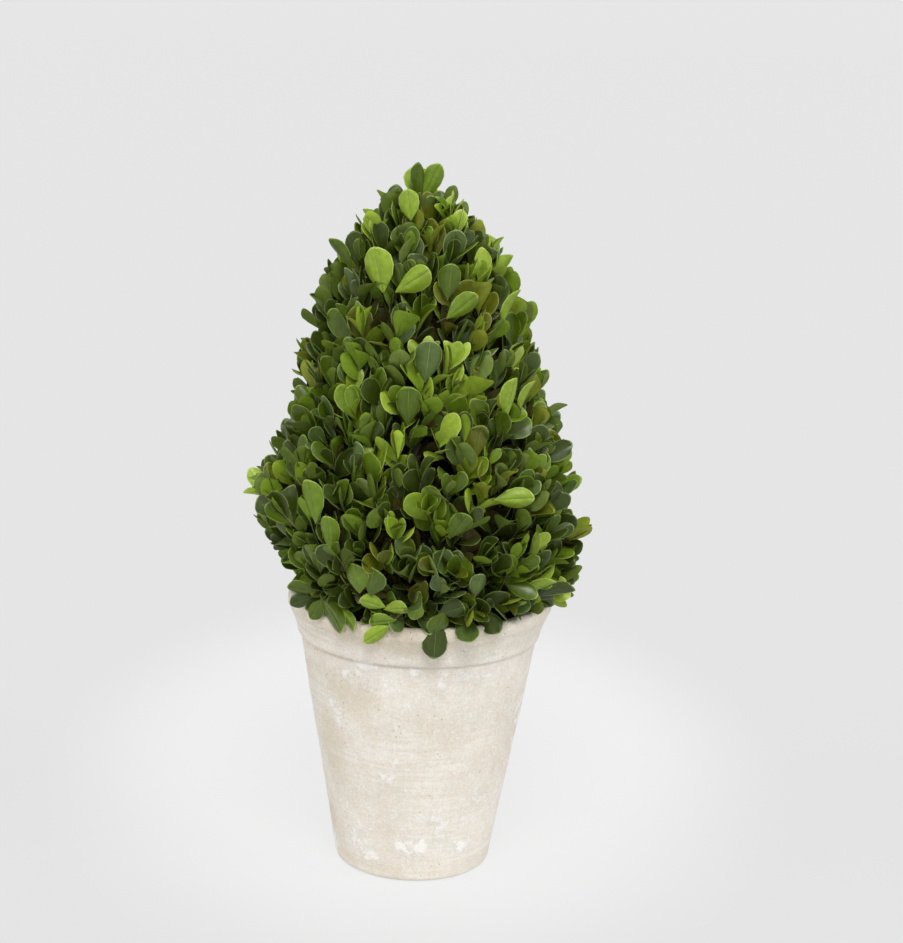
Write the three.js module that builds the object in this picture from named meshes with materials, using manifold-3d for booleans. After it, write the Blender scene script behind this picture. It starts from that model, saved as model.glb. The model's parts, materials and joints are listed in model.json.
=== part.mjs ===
// A clipped boxwood cone in a tapered clay pot, as an assembly of named solids:
// the pot, the soil in it, a trunk with its root flare, the boughs that leave the trunk,
// and the masses of foliage that the boughs carry, tier by tier, from the rim to the tip.
//
// Units are millimetres and +Z is up. The origin is the centre of the pot's flat underside.

import * as THREE from "three";
import { mergeVertices } from "three/addons/utils/BufferGeometryUtils.js";
import Module from "manifold-3d";

const wasm = await Module();
wasm.setup();

// ---------------------------------------------------------------- driving dimensions

const SEAT = 0.3; // clearance between two pieces that rest on each other
const SEAM = 0.9; // clearance between neighbouring masses of foliage

const POT = {
  height: 200,
  footRadius: 56,
  footRounding: 5,
  neckRadius: 84.5, // the body's widest point, just under the rim
  neckHeight: 170,
  beadRadius: 1.8, // the rounded step where the rim begins
  rimRadius: 94,
  flareTop: 192, // the rim's underside stops flaring here
  lip: 4, // rounding of the rim's edges
  wall: 10,
  floor: 12,
  segments: 48,
};

const SOIL = { top: 190, edgeTop: 185, flatRadius: 24 };

const TRUNK = {
  foot: SOIL.top + SEAT,
  tip: 474,
  stemRadius: 8.5, // above the root flare
  tipRadius: 2,
  flare: 6.5, // what the root flare adds at the cut
  flareHeight: 14,
  sway: 2.5, // how far the stem wanders from a straight line
  sides: 12,
  steps: 14,
};

const BOUGH = {
  slope: 0.62, // rise for each millimetre of run
  rootShare: 0.5, // radius at the trunk, as a share of the trunk's own
  endShare: 0.6, // radius at the end, as a share of that at the trunk
  socket: 7, // how far the end enters its mass
  stagger: 5, // the boughs of one tier leave the trunk at slightly different heights
  lowest: 16, // height above the soil of the lowest fork
  sag: 0.15, // how far the middle hangs below a straight line, as a share of the rise
  sides: 7,
  steps: 4,
};

const CROWN = {
  foot: POT.height + SEAT,
  top: 504,
  footRadius: 101,
  widestRadius: 120,
  widestHeight: 264,
  footBulge: 1.7, // how round the crown is below its widest point
  taperStart: 0.97, // these two powers dome the side of the cone
  taperEnd: 0.52,
  leafless: 0.44, // share of the radius round the trunk that bears no leaves
  lean: -8, // how far along X the crown stands off the pot's axis
  leanFrom: 200,
  leanTo: 270,
};

// The tiers of foliage, from the rim up, each with its lower edge, its number of masses
// and the direction of its first seam, in radians.
const TIERS = [
  { name: "foot", low: CROWN.foot, masses: 5, turn: 0.25 },
  { name: "lower", low: 256, masses: 5, turn: 0.85 },
  { name: "middle", low: 316, masses: 4, turn: 0.1 },
  { name: "upper", low: 382, masses: 3, turn: 0.7 },
  { name: "tip", low: 446, masses: 1, turn: 0 },
];

const MASS = {
  seamWave: 2.2, // rise and fall of the seam between two tiers
  seamSwing: 0.05, // swing, in radians, of the seam between two masses of a tier
  groove: 0.035, // how far a mass draws in at its seams, as a share of the radius
  grooveSharpness: 4,
  lump: 0.04, // unevenness of the outer face, as a share of the radius
  radialSteps: 2,
  angularSteps: 7,
  verticalSteps: 5,
  tipSegments: 24,
  tipSteps: 9,
};

// ---------------------------------------------------------------- geometry helpers

const { lerp, smoothstep } = THREE.MathUtils;
const FULL_TURN = 2 * Math.PI;

// Points of a circular arc in a profile's plane, from one angle to another.
function arc(centreX, centreY, radius, fromAngle, toAngle, steps) {
  return Array.from({ length: steps + 1 }, (_, i) => {
    const angle = lerp(fromAngle, toAngle, i / steps);
    return new THREE.Vector2(
      centreX + radius * Math.cos(angle),
      centreY + radius * Math.sin(angle),
    );
  });
}

// A profile of (radius, height) points turned about the Z axis.
function turned(profile, segments) {
  return new THREE.LatheGeometry(profile, segments).rotateX(Math.PI / 2);
}

// Moves each vertex of a geometry to the point that place() gives for it.
function reshaped(geometry, place) {
  const position = geometry.attributes.position;
  const from = new THREE.Vector3();
  for (let i = 0; i < position.count; i++) {
    const to = place(from.fromBufferAttribute(position, i));
    position.setXYZ(i, to.x, to.y, to.z);
  }
  return geometry;
}

// A closed limb of round section along a curve, with radiusAt(t) for t from 0 to 1.
// grow adds that much all round and at both ends, for the seat that a neighbour needs.
function limb(curve, radiusAt, { sides, steps }, grow = 0) {
  const rod = new THREE.CylinderGeometry(1, 1, 1, sides, steps).rotateX(Math.PI / 2);
  const sideways = new THREE.Vector3(0.1, 1, 0);
  return reshaped(rod, ({ x, y, z }) => {
    const t = THREE.MathUtils.clamp(z + 0.5, 0, 1);
    const along = curve.getTangentAt(t);
    const across = sideways.clone().cross(along).normalize();
    const over = along.clone().cross(across);
    const radius = radiusAt(t) + grow;
    const overrun = grow * Math.trunc(2 * z);
    return curve
      .getPointAt(t)
      .addScaledVector(across, x * radius)
      .addScaledVector(over, y * radius)
      .addScaledVector(along, overrun);
  });
}

function toSolid(geometry) {
  const bare = geometry.clone();
  bare.deleteAttribute("normal");
  bare.deleteAttribute("uv");
  const merged = mergeVertices(bare, 1e-3);
  return new wasm.Manifold(
    new wasm.Mesh({
      numProp: 3,
      vertProperties: merged.attributes.position.array,
      triVerts: new Uint32Array(merged.index.array),
    }),
  );
}

function toGeometry(solid) {
  const { vertProperties, triVerts } = solid.getMesh();
  return new THREE.BufferGeometry()
    .setAttribute("position", new THREE.BufferAttribute(vertProperties, 3))
    .setIndex(new THREE.BufferAttribute(triVerts, 1));
}

// A geometry with the room taken out of it that its neighbours need.
function cutBy(geometry, ...neighbours) {
  return toGeometry(
    neighbours.reduce((left, neighbour) => left.subtract(toSolid(neighbour)), toSolid(geometry)),
  );
}

// ---------------------------------------------------------------- materials

const material = (color, roughness) =>
  new THREE.MeshStandardMaterial({ color, roughness, metalness: 0 });

const CLAY = material(0xded5c5, 0.9);
const EARTH = material(0x3a2c20, 1);
const BARK = material(0x8a7a5c, 0.85);
const LEAVES = material(0x4c7029, 0.5);

const assembly = new THREE.Group();

function add(name, geometry, surface) {
  const mesh = new THREE.Mesh(geometry, surface);
  mesh.name = name;
  assembly.add(mesh);
}

// ---------------------------------------------------------------- pot and soil

// Radius of the pot's outer wall at a height on its straight, tapered body.
function potRadius(height) {
  return lerp(POT.footRadius, POT.neckRadius, height / POT.neckHeight);
}

function potProfile() {
  const { height, footRounding, footRadius, neckHeight, beadRadius, rimRadius, lip, wall, floor } =
    POT;
  const foot = arc(footRadius - footRounding, footRounding, footRounding, -Math.PI / 2, 0, 3);
  const neck = new THREE.Vector2(potRadius(neckHeight), neckHeight);
  const bead = arc(neck.x, neckHeight + beadRadius, beadRadius, -Math.PI / 4, Math.PI / 3, 2);
  const flare = new THREE.QuadraticBezierCurve(
    bead.at(-1),
    new THREE.Vector2(rimRadius - lip, bead.at(-1).y + lip),
    new THREE.Vector2(rimRadius, POT.flareTop),
  ).getPoints(4);
  const rim = arc(rimRadius - lip, height - lip, lip, 0, Math.PI / 2, 3);
  const innerLip = arc(rimRadius - wall, height - lip, lip / 2, Math.PI / 2, Math.PI, 2);
  return [
    new THREE.Vector2(0, 0),
    ...foot,
    neck,
    ...bead,
    ...flare.slice(1),
    ...rim,
    ...innerLip,
    new THREE.Vector2(potRadius(neckHeight) - wall, neckHeight),
    new THREE.Vector2(potRadius(floor) - wall, floor),
    new THREE.Vector2(0, floor),
  ];
}

function soilProfile() {
  const { floor, wall } = POT;
  const innerRadius = (height) => potRadius(height) - wall - SEAT;
  return [
    new THREE.Vector2(0, floor + SEAT),
    new THREE.Vector2(innerRadius(floor), floor + SEAT),
    new THREE.Vector2(innerRadius(POT.neckHeight), POT.neckHeight),
    new THREE.Vector2(innerRadius(POT.neckHeight), SOIL.edgeTop),
    new THREE.Vector2(SOIL.flatRadius, SOIL.top),
    new THREE.Vector2(0, SOIL.top),
  ];
}

add("pot", turned(potProfile(), POT.segments), CLAY);
add("soil", turned(soilProfile(), POT.segments), EARTH);

// ---------------------------------------------------------------- crown outline

// Radius of the clipped cone at a height.
function crownRadius(height) {
  const { foot, top, footRadius, widestRadius, widestHeight } = CROWN;
  if (height < widestHeight) {
    const below = (widestHeight - height) / (widestHeight - foot);
    return lerp(widestRadius, footRadius, below ** CROWN.footBulge);
  }
  const above = Math.min(1, (height - widestHeight) / (top - widestHeight));
  return widestRadius * (1 - above ** CROWN.taperStart) ** CROWN.taperEnd;
}

// How uneven the clipped face is, in a direction and at a height, from -1 to 1.
function unevenness(angle, height) {
  return (
    0.5 * Math.sin(3 * angle + height / 31) +
    0.3 * Math.sin(5 * angle - height / 17 + 1.3) +
    0.2 * Math.sin(8 * angle + height / 9)
  );
}

function leanAt(height) {
  return CROWN.lean * smoothstep(height, CROWN.leanFrom, CROWN.leanTo);
}

// The point at a direction, radius and height round the leaning centre line of the crown.
function crownPoint(angle, radius, height) {
  return new THREE.Vector3(
    leanAt(height) + radius * Math.cos(angle),
    radius * Math.sin(angle),
    height,
  );
}

// ---------------------------------------------------------------- trunk

function trunkPoint(height) {
  const up = (height - TRUNK.foot) / (TRUNK.tip - TRUNK.foot);
  const sway = TRUNK.sway * Math.sin(up * FULL_TURN);
  return new THREE.Vector3(leanAt(height) + sway, -sway * Math.cos(up * Math.PI), height);
}

function trunkRadius(height) {
  const up = (height - TRUNK.foot) / (TRUNK.tip - TRUNK.foot);
  const flare = TRUNK.flare * Math.exp((TRUNK.foot - height) / TRUNK.flareHeight);
  return lerp(TRUNK.stemRadius, TRUNK.tipRadius, up) + flare;
}

function trunk(grow) {
  const height = (t) => lerp(TRUNK.foot, TRUNK.tip, t);
  const line = new THREE.CatmullRomCurve3(
    Array.from({ length: TRUNK.steps + 1 }, (_, i) => trunkPoint(height(i / TRUNK.steps))),
  );
  return limb(line, (t) => trunkRadius(height(t)), TRUNK, grow);
}

// The trunk with its foot cut off level, so that it stands flat on the soil.
function standingTrunk() {
  const slab = new THREE.BoxGeometry(100, 100, 20).translate(0, 0, TRUNK.foot - 10);
  return cutBy(trunk(0), slab);
}

add("trunk", standingTrunk(), BARK);

// ---------------------------------------------------------------- boughs and masses of foliage

// Height of the lower edge of a tier, in a direction. The seam above the rim is level.
function seamHeight(tier, angle) {
  const { low } = TIERS[tier];
  const wave = tier === 0 ? 0 : MASS.seamWave * Math.sin(3 * angle + 1.7 * tier);
  return low + wave;
}

// Direction of a seam between two masses of a tier, at a share of the tier's height.
function seamAngle(tier, index, up) {
  const { masses, turn } = TIERS[tier];
  const swing = MASS.seamSwing * Math.sin(Math.PI * up + 2.3 * (index % masses));
  return turn + (FULL_TURN * index) / masses + swing;
}

// How far in the outer face is drawn near a seam, for a share from 0 to 1 across the mass.
function groove(share) {
  return MASS.groove * Math.abs(2 * share - 1) ** MASS.grooveSharpness;
}

function outerRadius(angle, height, across, up) {
  const drawnIn = 1 - groove(across) - groove(up);
  return crownRadius(height) * drawnIn * (1 + MASS.lump * unevenness(angle, height));
}

// One mass: a block whose three sides are bent to run out from the trunk, round it and up it.
function mass(tier, index) {
  const { radialSteps, angularSteps, verticalSteps } = MASS;
  const block = new THREE.BoxGeometry(1, 1, 1, radialSteps, angularSteps, verticalSteps);
  return reshaped(block, ({ x, y, z }) => {
    const [out, across, up] = [x + 0.5, y + 0.5, z + 0.5];
    const angle = lerp(seamAngle(tier, index, up), seamAngle(tier, index + 1, up), across);
    const low = seamHeight(tier, angle) + (tier ? SEAM / 2 : 0);
    const high = seamHeight(tier + 1, angle) - SEAM / 2;
    const height = lerp(low, high, up);
    const inner = CROWN.leafless * crownRadius(height);
    const radius = lerp(inner, outerRadius(angle, height, across, up), out);
    const besideSeam = (SEAM / radius) * (0.5 - across);
    return crownPoint(angle + besideSeam, radius, height);
  });
}

// The top of the cone, closed all round.
function tipMass(tier) {
  const { tipSteps, tipSegments } = MASS;
  const foot = TIERS[tier].low;
  const profile = Array.from({ length: tipSteps + 1 }, (_, i) => {
    const up = Math.sin((Math.PI / 2) * (i / tipSteps));
    return new THREE.Vector2(i < tipSteps ? 1 : 0, lerp(foot, CROWN.top, up));
  });
  const underside = [new THREE.Vector2(0, foot), new THREE.Vector2(CROWN.leafless, foot)];
  const shell = turned([...underside, ...profile], tipSegments);
  return reshaped(shell, ({ x, y, z }) => {
    const angle = Math.atan2(y, x);
    const share = Math.hypot(x, y);
    const up = (z - foot) / (CROWN.top - foot);
    const low = (share > 0 ? seamHeight(tier, angle) : foot) + SEAM / 2;
    const height = lerp(low, CROWN.top, up);
    const radius = outerRadius(angle, height, 0.5, up / 2);
    return crownPoint(angle, share * radius, height);
  });
}

// The line of the bough that carries a mass, from inside the trunk to its socket.
function boughLine(tier, index) {
  const angle = (seamAngle(tier, index, 0.5) + seamAngle(tier, index + 1, 0.5)) / 2;
  const middle = (TIERS[tier].low + TIERS[tier + 1].low) / 2;
  const endRadius = CROWN.leafless * crownRadius(middle) + BOUGH.socket;
  const rise = BOUGH.slope * endRadius + BOUGH.stagger * Math.sin(2.1 * index + tier);
  const start = trunkPoint(Math.max(middle - rise, TRUNK.foot + BOUGH.lowest));
  const end = crownPoint(angle, endRadius, middle);
  const bend = start.clone().lerp(end, 0.5);
  bend.z -= BOUGH.sag * (end.z - start.z);
  return new THREE.QuadraticBezierCurve3(start, bend, end);
}

function bough(line, grow) {
  const root = BOUGH.rootShare * trunkRadius(line.v0.z);
  return limb(line, (t) => root * lerp(1, BOUGH.endShare, t), BOUGH, grow);
}

TIERS.forEach(({ name, masses }, tier) => {
  if (masses === 1) {
    add(`foliage_${name}`, cutBy(tipMass(tier), trunk(SEAT)), LEAVES);
    return;
  }
  for (let index = 0; index < masses; index++) {
    const line = boughLine(tier, index);
    add(`bough_${name}_${index + 1}`, cutBy(bough(line, 0), trunk(SEAT)), BARK);
    add(`foliage_${name}_${index + 1}`, cutBy(mass(tier, index), bough(line, SEAT)), LEAVES);
  }
});

export default assembly;
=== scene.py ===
"""A clipped boxwood cone in a limewashed clay pot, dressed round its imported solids."""

import json
import math
import random
from functools import lru_cache
from typing import NamedTuple

import bmesh
import bpy
from mathutils import Matrix, Quaternion, Vector, geometry, noise
from mathutils.bvhtree import BVHTree

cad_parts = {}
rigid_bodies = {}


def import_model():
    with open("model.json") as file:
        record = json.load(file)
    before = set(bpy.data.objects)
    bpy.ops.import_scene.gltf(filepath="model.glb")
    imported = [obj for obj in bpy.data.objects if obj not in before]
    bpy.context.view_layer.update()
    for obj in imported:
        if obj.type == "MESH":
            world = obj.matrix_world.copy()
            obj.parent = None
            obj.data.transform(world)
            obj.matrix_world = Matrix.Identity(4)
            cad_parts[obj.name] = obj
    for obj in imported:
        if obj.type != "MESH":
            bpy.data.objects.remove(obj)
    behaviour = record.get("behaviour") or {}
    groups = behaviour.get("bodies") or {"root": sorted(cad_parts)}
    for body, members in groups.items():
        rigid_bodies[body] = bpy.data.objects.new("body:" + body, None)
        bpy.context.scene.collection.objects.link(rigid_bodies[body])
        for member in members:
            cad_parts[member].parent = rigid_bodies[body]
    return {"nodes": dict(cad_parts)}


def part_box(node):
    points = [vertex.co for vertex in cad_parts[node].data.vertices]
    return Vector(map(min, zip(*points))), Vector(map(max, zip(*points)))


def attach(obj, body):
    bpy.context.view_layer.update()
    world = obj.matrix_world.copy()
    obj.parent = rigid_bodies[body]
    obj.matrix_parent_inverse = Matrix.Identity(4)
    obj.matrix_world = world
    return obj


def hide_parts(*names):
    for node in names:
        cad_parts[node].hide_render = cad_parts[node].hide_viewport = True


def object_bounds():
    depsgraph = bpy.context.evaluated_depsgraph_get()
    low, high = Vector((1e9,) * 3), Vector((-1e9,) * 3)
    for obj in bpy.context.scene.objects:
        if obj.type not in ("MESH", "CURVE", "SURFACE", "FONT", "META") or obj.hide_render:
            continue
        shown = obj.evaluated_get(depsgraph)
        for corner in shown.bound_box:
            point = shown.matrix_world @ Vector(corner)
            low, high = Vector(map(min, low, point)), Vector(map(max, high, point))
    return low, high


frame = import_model()
CAD_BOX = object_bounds()
NODES = frame["nodes"]

bl_info = {
    "name": "Boxwood cone topiary",
    "version": (1, 0, 0),
    "blender": (4, 5, 0),
    "location": "View3D > Sidebar > Topiary",
    "description": "Builds a potted boxwood cone and the studio round it",
    "category": "Object",
}

BODY = "root"
POT_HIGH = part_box("pot")[1]
SOIL_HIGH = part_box("soil")[1]
MM = 0.001
UP = Vector((0, 0, 1))
FULL_TURN = 2 * math.pi
QUARTER_TURN = math.pi / 2
WOODEN = sorted(node for node in NODES if node == "trunk" or node.startswith("bough_"))
MASSES = sorted(node for node in NODES if node.startswith("foliage_"))
TIERS = ("foot", "lower", "middle", "upper", "tip")


# ---------------------------------------------------------------- settings


def length(name, description, default, **limits):
    """A size in metres that the sidebar shows."""
    return bpy.props.FloatProperty(
        name=name,
        description=description,
        default=default,
        min=0,
        subtype="DISTANCE",
        unit="LENGTH",
        precision=4,
        **limits,
    )


def angle(name, description, degrees):
    """An angle given in degrees and kept in radians."""
    return bpy.props.FloatProperty(
        name=name, description=description, default=math.radians(degrees), subtype="ANGLE"
    )


def share(name, description, default, most=1.0):
    """A plain factor from nought to most."""
    return bpy.props.FloatProperty(
        name=name, description=description, default=default, min=0, max=most, subtype="FACTOR"
    )


def amount(name, description, default):
    return bpy.props.FloatProperty(name=name, description=description, default=default, min=0)


def colour(name, description, *rgb):
    """A colour as red, green and blue on the screen's own scale of 0 to 255."""
    return bpy.props.FloatVectorProperty(
        name=name,
        description=description,
        default=[linear(value) for value in rgb],
        size=3,
        min=0,
        max=1,
        subtype="COLOR",
    )


def linear(value):
    """Light from a screen value of 0 to 255."""
    value /= 255
    return value / 12.92 if value <= 0.04045 else ((value + 0.055) / 1.055) ** 2.4


class PotSettings(bpy.types.PropertyGroup):
    """Sizes and colours of the clay pot and its soil."""

    height: length("Height", "Height of the pot", POT_HIGH.z)
    foot_radius: length("Foot radius", "Outer radius where the pot stands", 56 * MM)
    foot_rounding: length("Foot rounding", "Rounding of the pot's lower edge", 5 * MM)
    neck_radius: length("Neck radius", "Outer radius just below the rim", 84.5 * MM)
    neck_height: length("Neck height", "Height at which the rim begins", 170 * MM)
    rim_radius: length("Rim radius", "Outer radius of the rim", POT_HIGH.x)
    flare_top: length("Flare top", "Height at which the rim stops flaring", 192 * MM)
    bead: length("Bead", "Radius of the rounded step under the rim", 1.8 * MM)
    roll: length("Roll", "Height of the uneven roll along the rim's lower edge", 0.5 * MM)
    roll_width: length("Roll width", "Half the width of that roll", 1.6 * MM)
    lip: length("Lip", "Rounding of the rim's edge", 4 * MM)
    wall: length("Wall", "Thickness of the wall", 10 * MM)
    floor: length("Floor", "Thickness of the floor", 12 * MM)
    relief: length("Relief", "Unevenness of the clay", 0.28 * MM)
    crust: length("Crust", "Thickness of the lime in its patches", 0.35 * MM)
    clay: colour("Clay", "Washed clay", 217, 208, 194)
    lime: colour("Lime", "Thick limewash", 244, 242, 237)
    blush: colour("Blush", "Pinkish clay that shows through the wash", 226, 210, 192)
    bloom: colour("Bloom", "Grey-green bloom", 211, 209, 193)
    # Also the colour of the painted shade along the rim under the leaves and in the groove under the
    # collar.
    stain: colour("Stain", "Brown stain", 200, 184, 154)
    pit: colour("Pit", "Soil in the small pits", 140, 122, 98)
    soil: colour("Soil", "Damp potting mix", 52, 38, 28)
    soil_chips: colour("Chips", "Bark chips in the mix", 104, 76, 52)


class WoodSettings(bpy.types.PropertyGroup):
    """Relief and colours of the stem, the boughs and the twigs."""

    grain: length("Grain", "Size of the mesh that carries the bark's relief", 1.3 * MM)
    fissures: length("Fissures", "Depth of the bark's fissures", 0.7 * MM)
    bark: colour("Bark", "Ridges of the bark", 136, 122, 96)
    furrow: colour("Furrow", "Furrows of the bark", 74, 62, 46)
    twig: colour("Twig", "Young twigs", 112, 110, 62)
    twig_radius: length("Twig radius", "Radius of a twig that carries one spray", 0.55 * MM)


class LeafSettings(bpy.types.PropertyGroup):
    """How the crown grows and what colours its leaves have."""

    seed: bpy.props.IntProperty(name="Seed", description="Another seed, another plant", default=11)
    leaf_length: length("Leaf length", "Stalk to tip of a fully grown leaf", 25 * MM)
    spacing: length("Spacing", "Distance between neighbouring sprays", 17 * MM)
    inset: length("Inset", "Depth of a spray's bud under the clipped face", 13 * MM)
    leafy: length("Leafy length", "Stretch of a spray that bears leaves", 36 * MM)
    drift: angle("Drift", "How far whole bunches of sprays lean out of line", 22)
    disorder: angle("Disorder", "How far a spray strays from its bunch", 9)
    lift: share("Lift", "How strongly leaves turn upward", 0.32)
    flatness: share("Flatness", "How much each spray is flattened against the crown", 0.5)
    missing: share("Missing", "Share of the leaves that have dropped", 0.08)


class StageSettings(bpy.types.PropertyGroup):
    """Camera, floor and light."""

    camera_back: length("Camera distance", "From the pot's axis to the camera", 1523 * MM)
    camera_up: length("Camera height", "Height of the camera above the floor", 654 * MM)
    camera_pitch: angle("Pitch", "How far the camera looks down", 13.53)
    camera_yaw: angle("Yaw", "How far the camera looks to the right", 0.73)
    camera_roll: angle("Roll", "How far the camera leans to the left", 1.97)
    lens: bpy.props.FloatProperty(
        name="Lens",
        description="Focal length",
        default=85,
        unit="CAMERA",
        subtype="DISTANCE_CAMERA",
    )
    floor: colour("Floor", "Floor and backdrop", 231, 231, 231)
    backdrop: length("Backdrop", "Radius of the round backdrop", 30.0)
    # A painted pool of light: the floor brighter round the object, in an oval centred behind it.
    pool: colour("Pool", "Brighter floor round the object", 243, 243, 243)
    painted_pool_back: length("Pool back", "How far behind the object the bright floor is centred", 220 * MM)
    painted_pool_wide: length("Pool width", "Half the width of the bright floor", 320 * MM)
    painted_pool_deep: length("Pool depth", "Half the depth of the bright floor", 480 * MM)
    shadow: share("Shadow", "Share of the floor's brightness that shadows can take", 0.18)
    sky: amount("Sky", "Strength of the even light", 0.54)
    key: amount("Key", "Strength of the soft light from above", 2.0)
    left_fill: amount("Left fill", "Strength of the soft light from the left", 1.3)
    right_fill: amount("Right fill", "Strength of the soft light from the right", 1.7)
    lamp_size: angle("Lamp size", "Apparent width of each soft light", 30)


def settings(group):
    """One of the property groups on the scene, such as settings("pot")."""
    return getattr(bpy.context.scene, f"topiary_{group}")


# ---------------------------------------------------------------- shared helpers


def smooth_step(value, low, high):
    part = min(1.0, max(0.0, (value - low) / (high - low)))
    return part * part * (3 - 2 * part)


def mix(a, b, part):
    return a + (b - a) * part


def new_object(name, mesh, smooth=True):
    """An object at the origin that shows a mesh whose place is in its points."""
    piece = bpy.data.objects.new(name, mesh)
    bpy.context.scene.collection.objects.link(piece)
    if smooth:
        mesh.shade_smooth()
    return piece


def mesh_from(name, points, faces):
    mesh = bpy.data.meshes.new(name)
    mesh.from_pydata(points, [], faces)
    mesh.update()
    return mesh


def add_to_object(piece, slot, *nodes):
    """Makes a finished piece part of the object, in place of the solids that it stands for."""
    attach(piece, BODY)
    if nodes:
        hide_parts(*nodes)


def add_node(tree, kind, inputs=None, **options):
    """A node with its options set and its inputs linked or filled in."""
    made = tree.nodes.new(kind)
    for option, value in options.items():
        setattr(made, option, value)
    for key, value in (inputs or {}).items():
        if isinstance(value, bpy.types.NodeSocket):
            tree.links.new(value, made.inputs[key])
        else:
            made.inputs[key].default_value = value
    return made


def rgba(value):
    return (*value, 1.0)


# ---------------------------------------------------------------- shader helpers


class Finish:
    """A material under construction, whose patterns lie on the object's own coordinates."""

    def __init__(self, name, **constants):
        self.material = bpy.data.materials.new(name)
        self.material.use_nodes = True
        self.tree = self.material.node_tree
        self.shader = self.tree.nodes["Principled BSDF"]
        for socket, value in constants.items():
            self.shader.inputs[socket.replace("_", " ")].default_value = value
        place = add_node(self.tree, "ShaderNodeTexCoord")
        self.place = place.outputs["Object"]

    def add(self, kind, inputs=None, **options):
        return add_node(self.tree, kind, inputs, **options)

    def vector(self, kind, inputs):
        return self.add("ShaderNodeVectorMath", inputs, operation=kind).outputs[0]

    def calc(self, kind, a, b):
        return self.add("ShaderNodeMath", {0: a, 1: b}, operation=kind).outputs["Value"]

    def stretched(self, *scale, place=None):
        """The place at which a pattern is read, scaled each way so that the pattern stretches."""
        inputs = {"Vector": place or self.place, "Scale": scale}
        return self.add("ShaderNodeMapping", inputs).outputs["Vector"]

    def around(self, radius, *scale):
        """The same on a round wall, laid out on a tube of the given radius."""
        flat = self.vector("MULTIPLY", {0: self.place, 1: (1, 1, 0)})
        way = self.vector("NORMALIZE", {0: flat})
        level = self.vector("SCALE", {0: way, "Scale": radius})
        upright = self.vector("MULTIPLY", {0: self.place, 1: (0, 0, 1)})
        tube = self.vector("ADD", {0: level, 1: upright})
        return self.stretched(*scale, place=tube)

    def clouds(self, size, detail=4.0, roughness=0.55, distortion=0.0, place=None):
        """Soft noise whose blotches are about size metres across."""
        inputs = {
            "Vector": place or self.place,
            "Scale": 1 / size,
            "Detail": detail,
            "Roughness": roughness,
            "Distortion": distortion,
        }
        return self.add("ShaderNodeTexNoise", inputs).outputs["Fac"]

    def spots(self, size):
        """Distance from the nearest of many scattered points, nought at each point."""
        inputs = {"Vector": self.place, "Scale": 1 / size}
        return self.add("ShaderNodeTexVoronoi", inputs).outputs["Distance"]

    def band(self, value, low, high, start=0.0, end=1.0):
        """Value carried from low and high to start and end, and held there."""
        inputs = {"Value": value, 1: low, 2: high, 3: start, 4: end}
        kind = "ShaderNodeMapRange"
        return self.add(kind, inputs, interpolation_type="SMOOTHSTEP").outputs["Result"]

    def blend(self, part, a, b, mode="MIX"):
        inputs = {0: part, 6: a, 7: b}
        return self.add("ShaderNodeMix", inputs, data_type="RGBA", blend_type=mode).outputs[2]

    def finish(self, base=None, roughness=None, relief=None, depth=0.001, strength=1.0):
        """Links what is given to the shader and returns the material."""
        links = self.tree.links
        if base is not None:
            links.new(base, self.shader.inputs["Base Color"])
        if roughness is not None:
            links.new(roughness, self.shader.inputs["Roughness"])
        if relief is not None:
            inputs = {"Height": relief, "Distance": depth, "Strength": strength}
            bump = self.add("ShaderNodeBump", inputs)
            links.new(bump.outputs["Normal"], self.shader.inputs["Normal"])
        return self.material


# ---------------------------------------------------------------- node group helpers


def new_group(name, sockets):
    """A geometry node group with a geometry in, a geometry out and the named inputs."""
    tree = bpy.data.node_groups.new(name, "GeometryNodeTree")
    tree.interface.new_socket("Geometry", in_out="INPUT", socket_type="NodeSocketGeometry")
    tree.interface.new_socket("Geometry", in_out="OUTPUT", socket_type="NodeSocketGeometry")
    for socket, kind in sockets.items():
        tree.interface.new_socket(socket, in_out="INPUT", socket_type=kind)
    entry = tree.nodes.new("NodeGroupInput")
    return tree, entry.outputs


def end_group(tree, geometry_socket):
    add_node(tree, "NodeGroupOutput", {"Geometry": geometry_socket})


def mesh_made_by(carrier):
    """The plain mesh that an object's modifiers make. The object itself is removed."""
    depsgraph = bpy.context.evaluated_depsgraph_get()
    mesh = bpy.data.meshes.new_from_object(carrier.evaluated_get(depsgraph))
    carrier.modifiers.clear()
    bpy.data.objects.remove(carrier)
    return mesh


def grown_mesh(name, base, tree, values):
    """The plain mesh that a node group makes of a base mesh, with the group's named inputs set."""
    carrier = new_object(f"{name}_carrier", base, smooth=False)
    modifier = carrier.modifiers.new(name, "NODES")
    modifier.node_group = tree
    for socket in tree.interface.items_tree:
        if socket.in_out == "INPUT" and socket.name in values:
            modifier[socket.identifier] = values[socket.name]
    mesh = mesh_made_by(carrier)
    mesh.name = name
    return mesh


def named(tree, attribute, kind):
    """The value of a named attribute."""
    inputs = {"Name": attribute}
    return add_node(tree, "GeometryNodeInputNamedAttribute", inputs, data_type=kind).outputs[0]


def product(tree, a, b):
    return add_node(tree, "ShaderNodeMath", {0: a, 1: b}, operation="MULTIPLY").outputs["Value"]


# ---------------------------------------------------------------- pot and soil


def arc(centre, radius, start, end, steps):
    """Points of a circular arc in the plane of a profile."""
    turns = (mix(start, end, i / steps) for i in range(steps + 1))
    return [centre + radius * Vector((math.cos(a), math.sin(a))) for a in turns]


def spaced(points, step):
    """The same line with points no further apart than step."""
    line = [points[0]]
    for a, b in zip(points, points[1:]):
        count = max(1, math.ceil((b - a).length / step))
        line += [a.lerp(b, i / count) for i in range(1, count + 1)]
    return line


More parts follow.
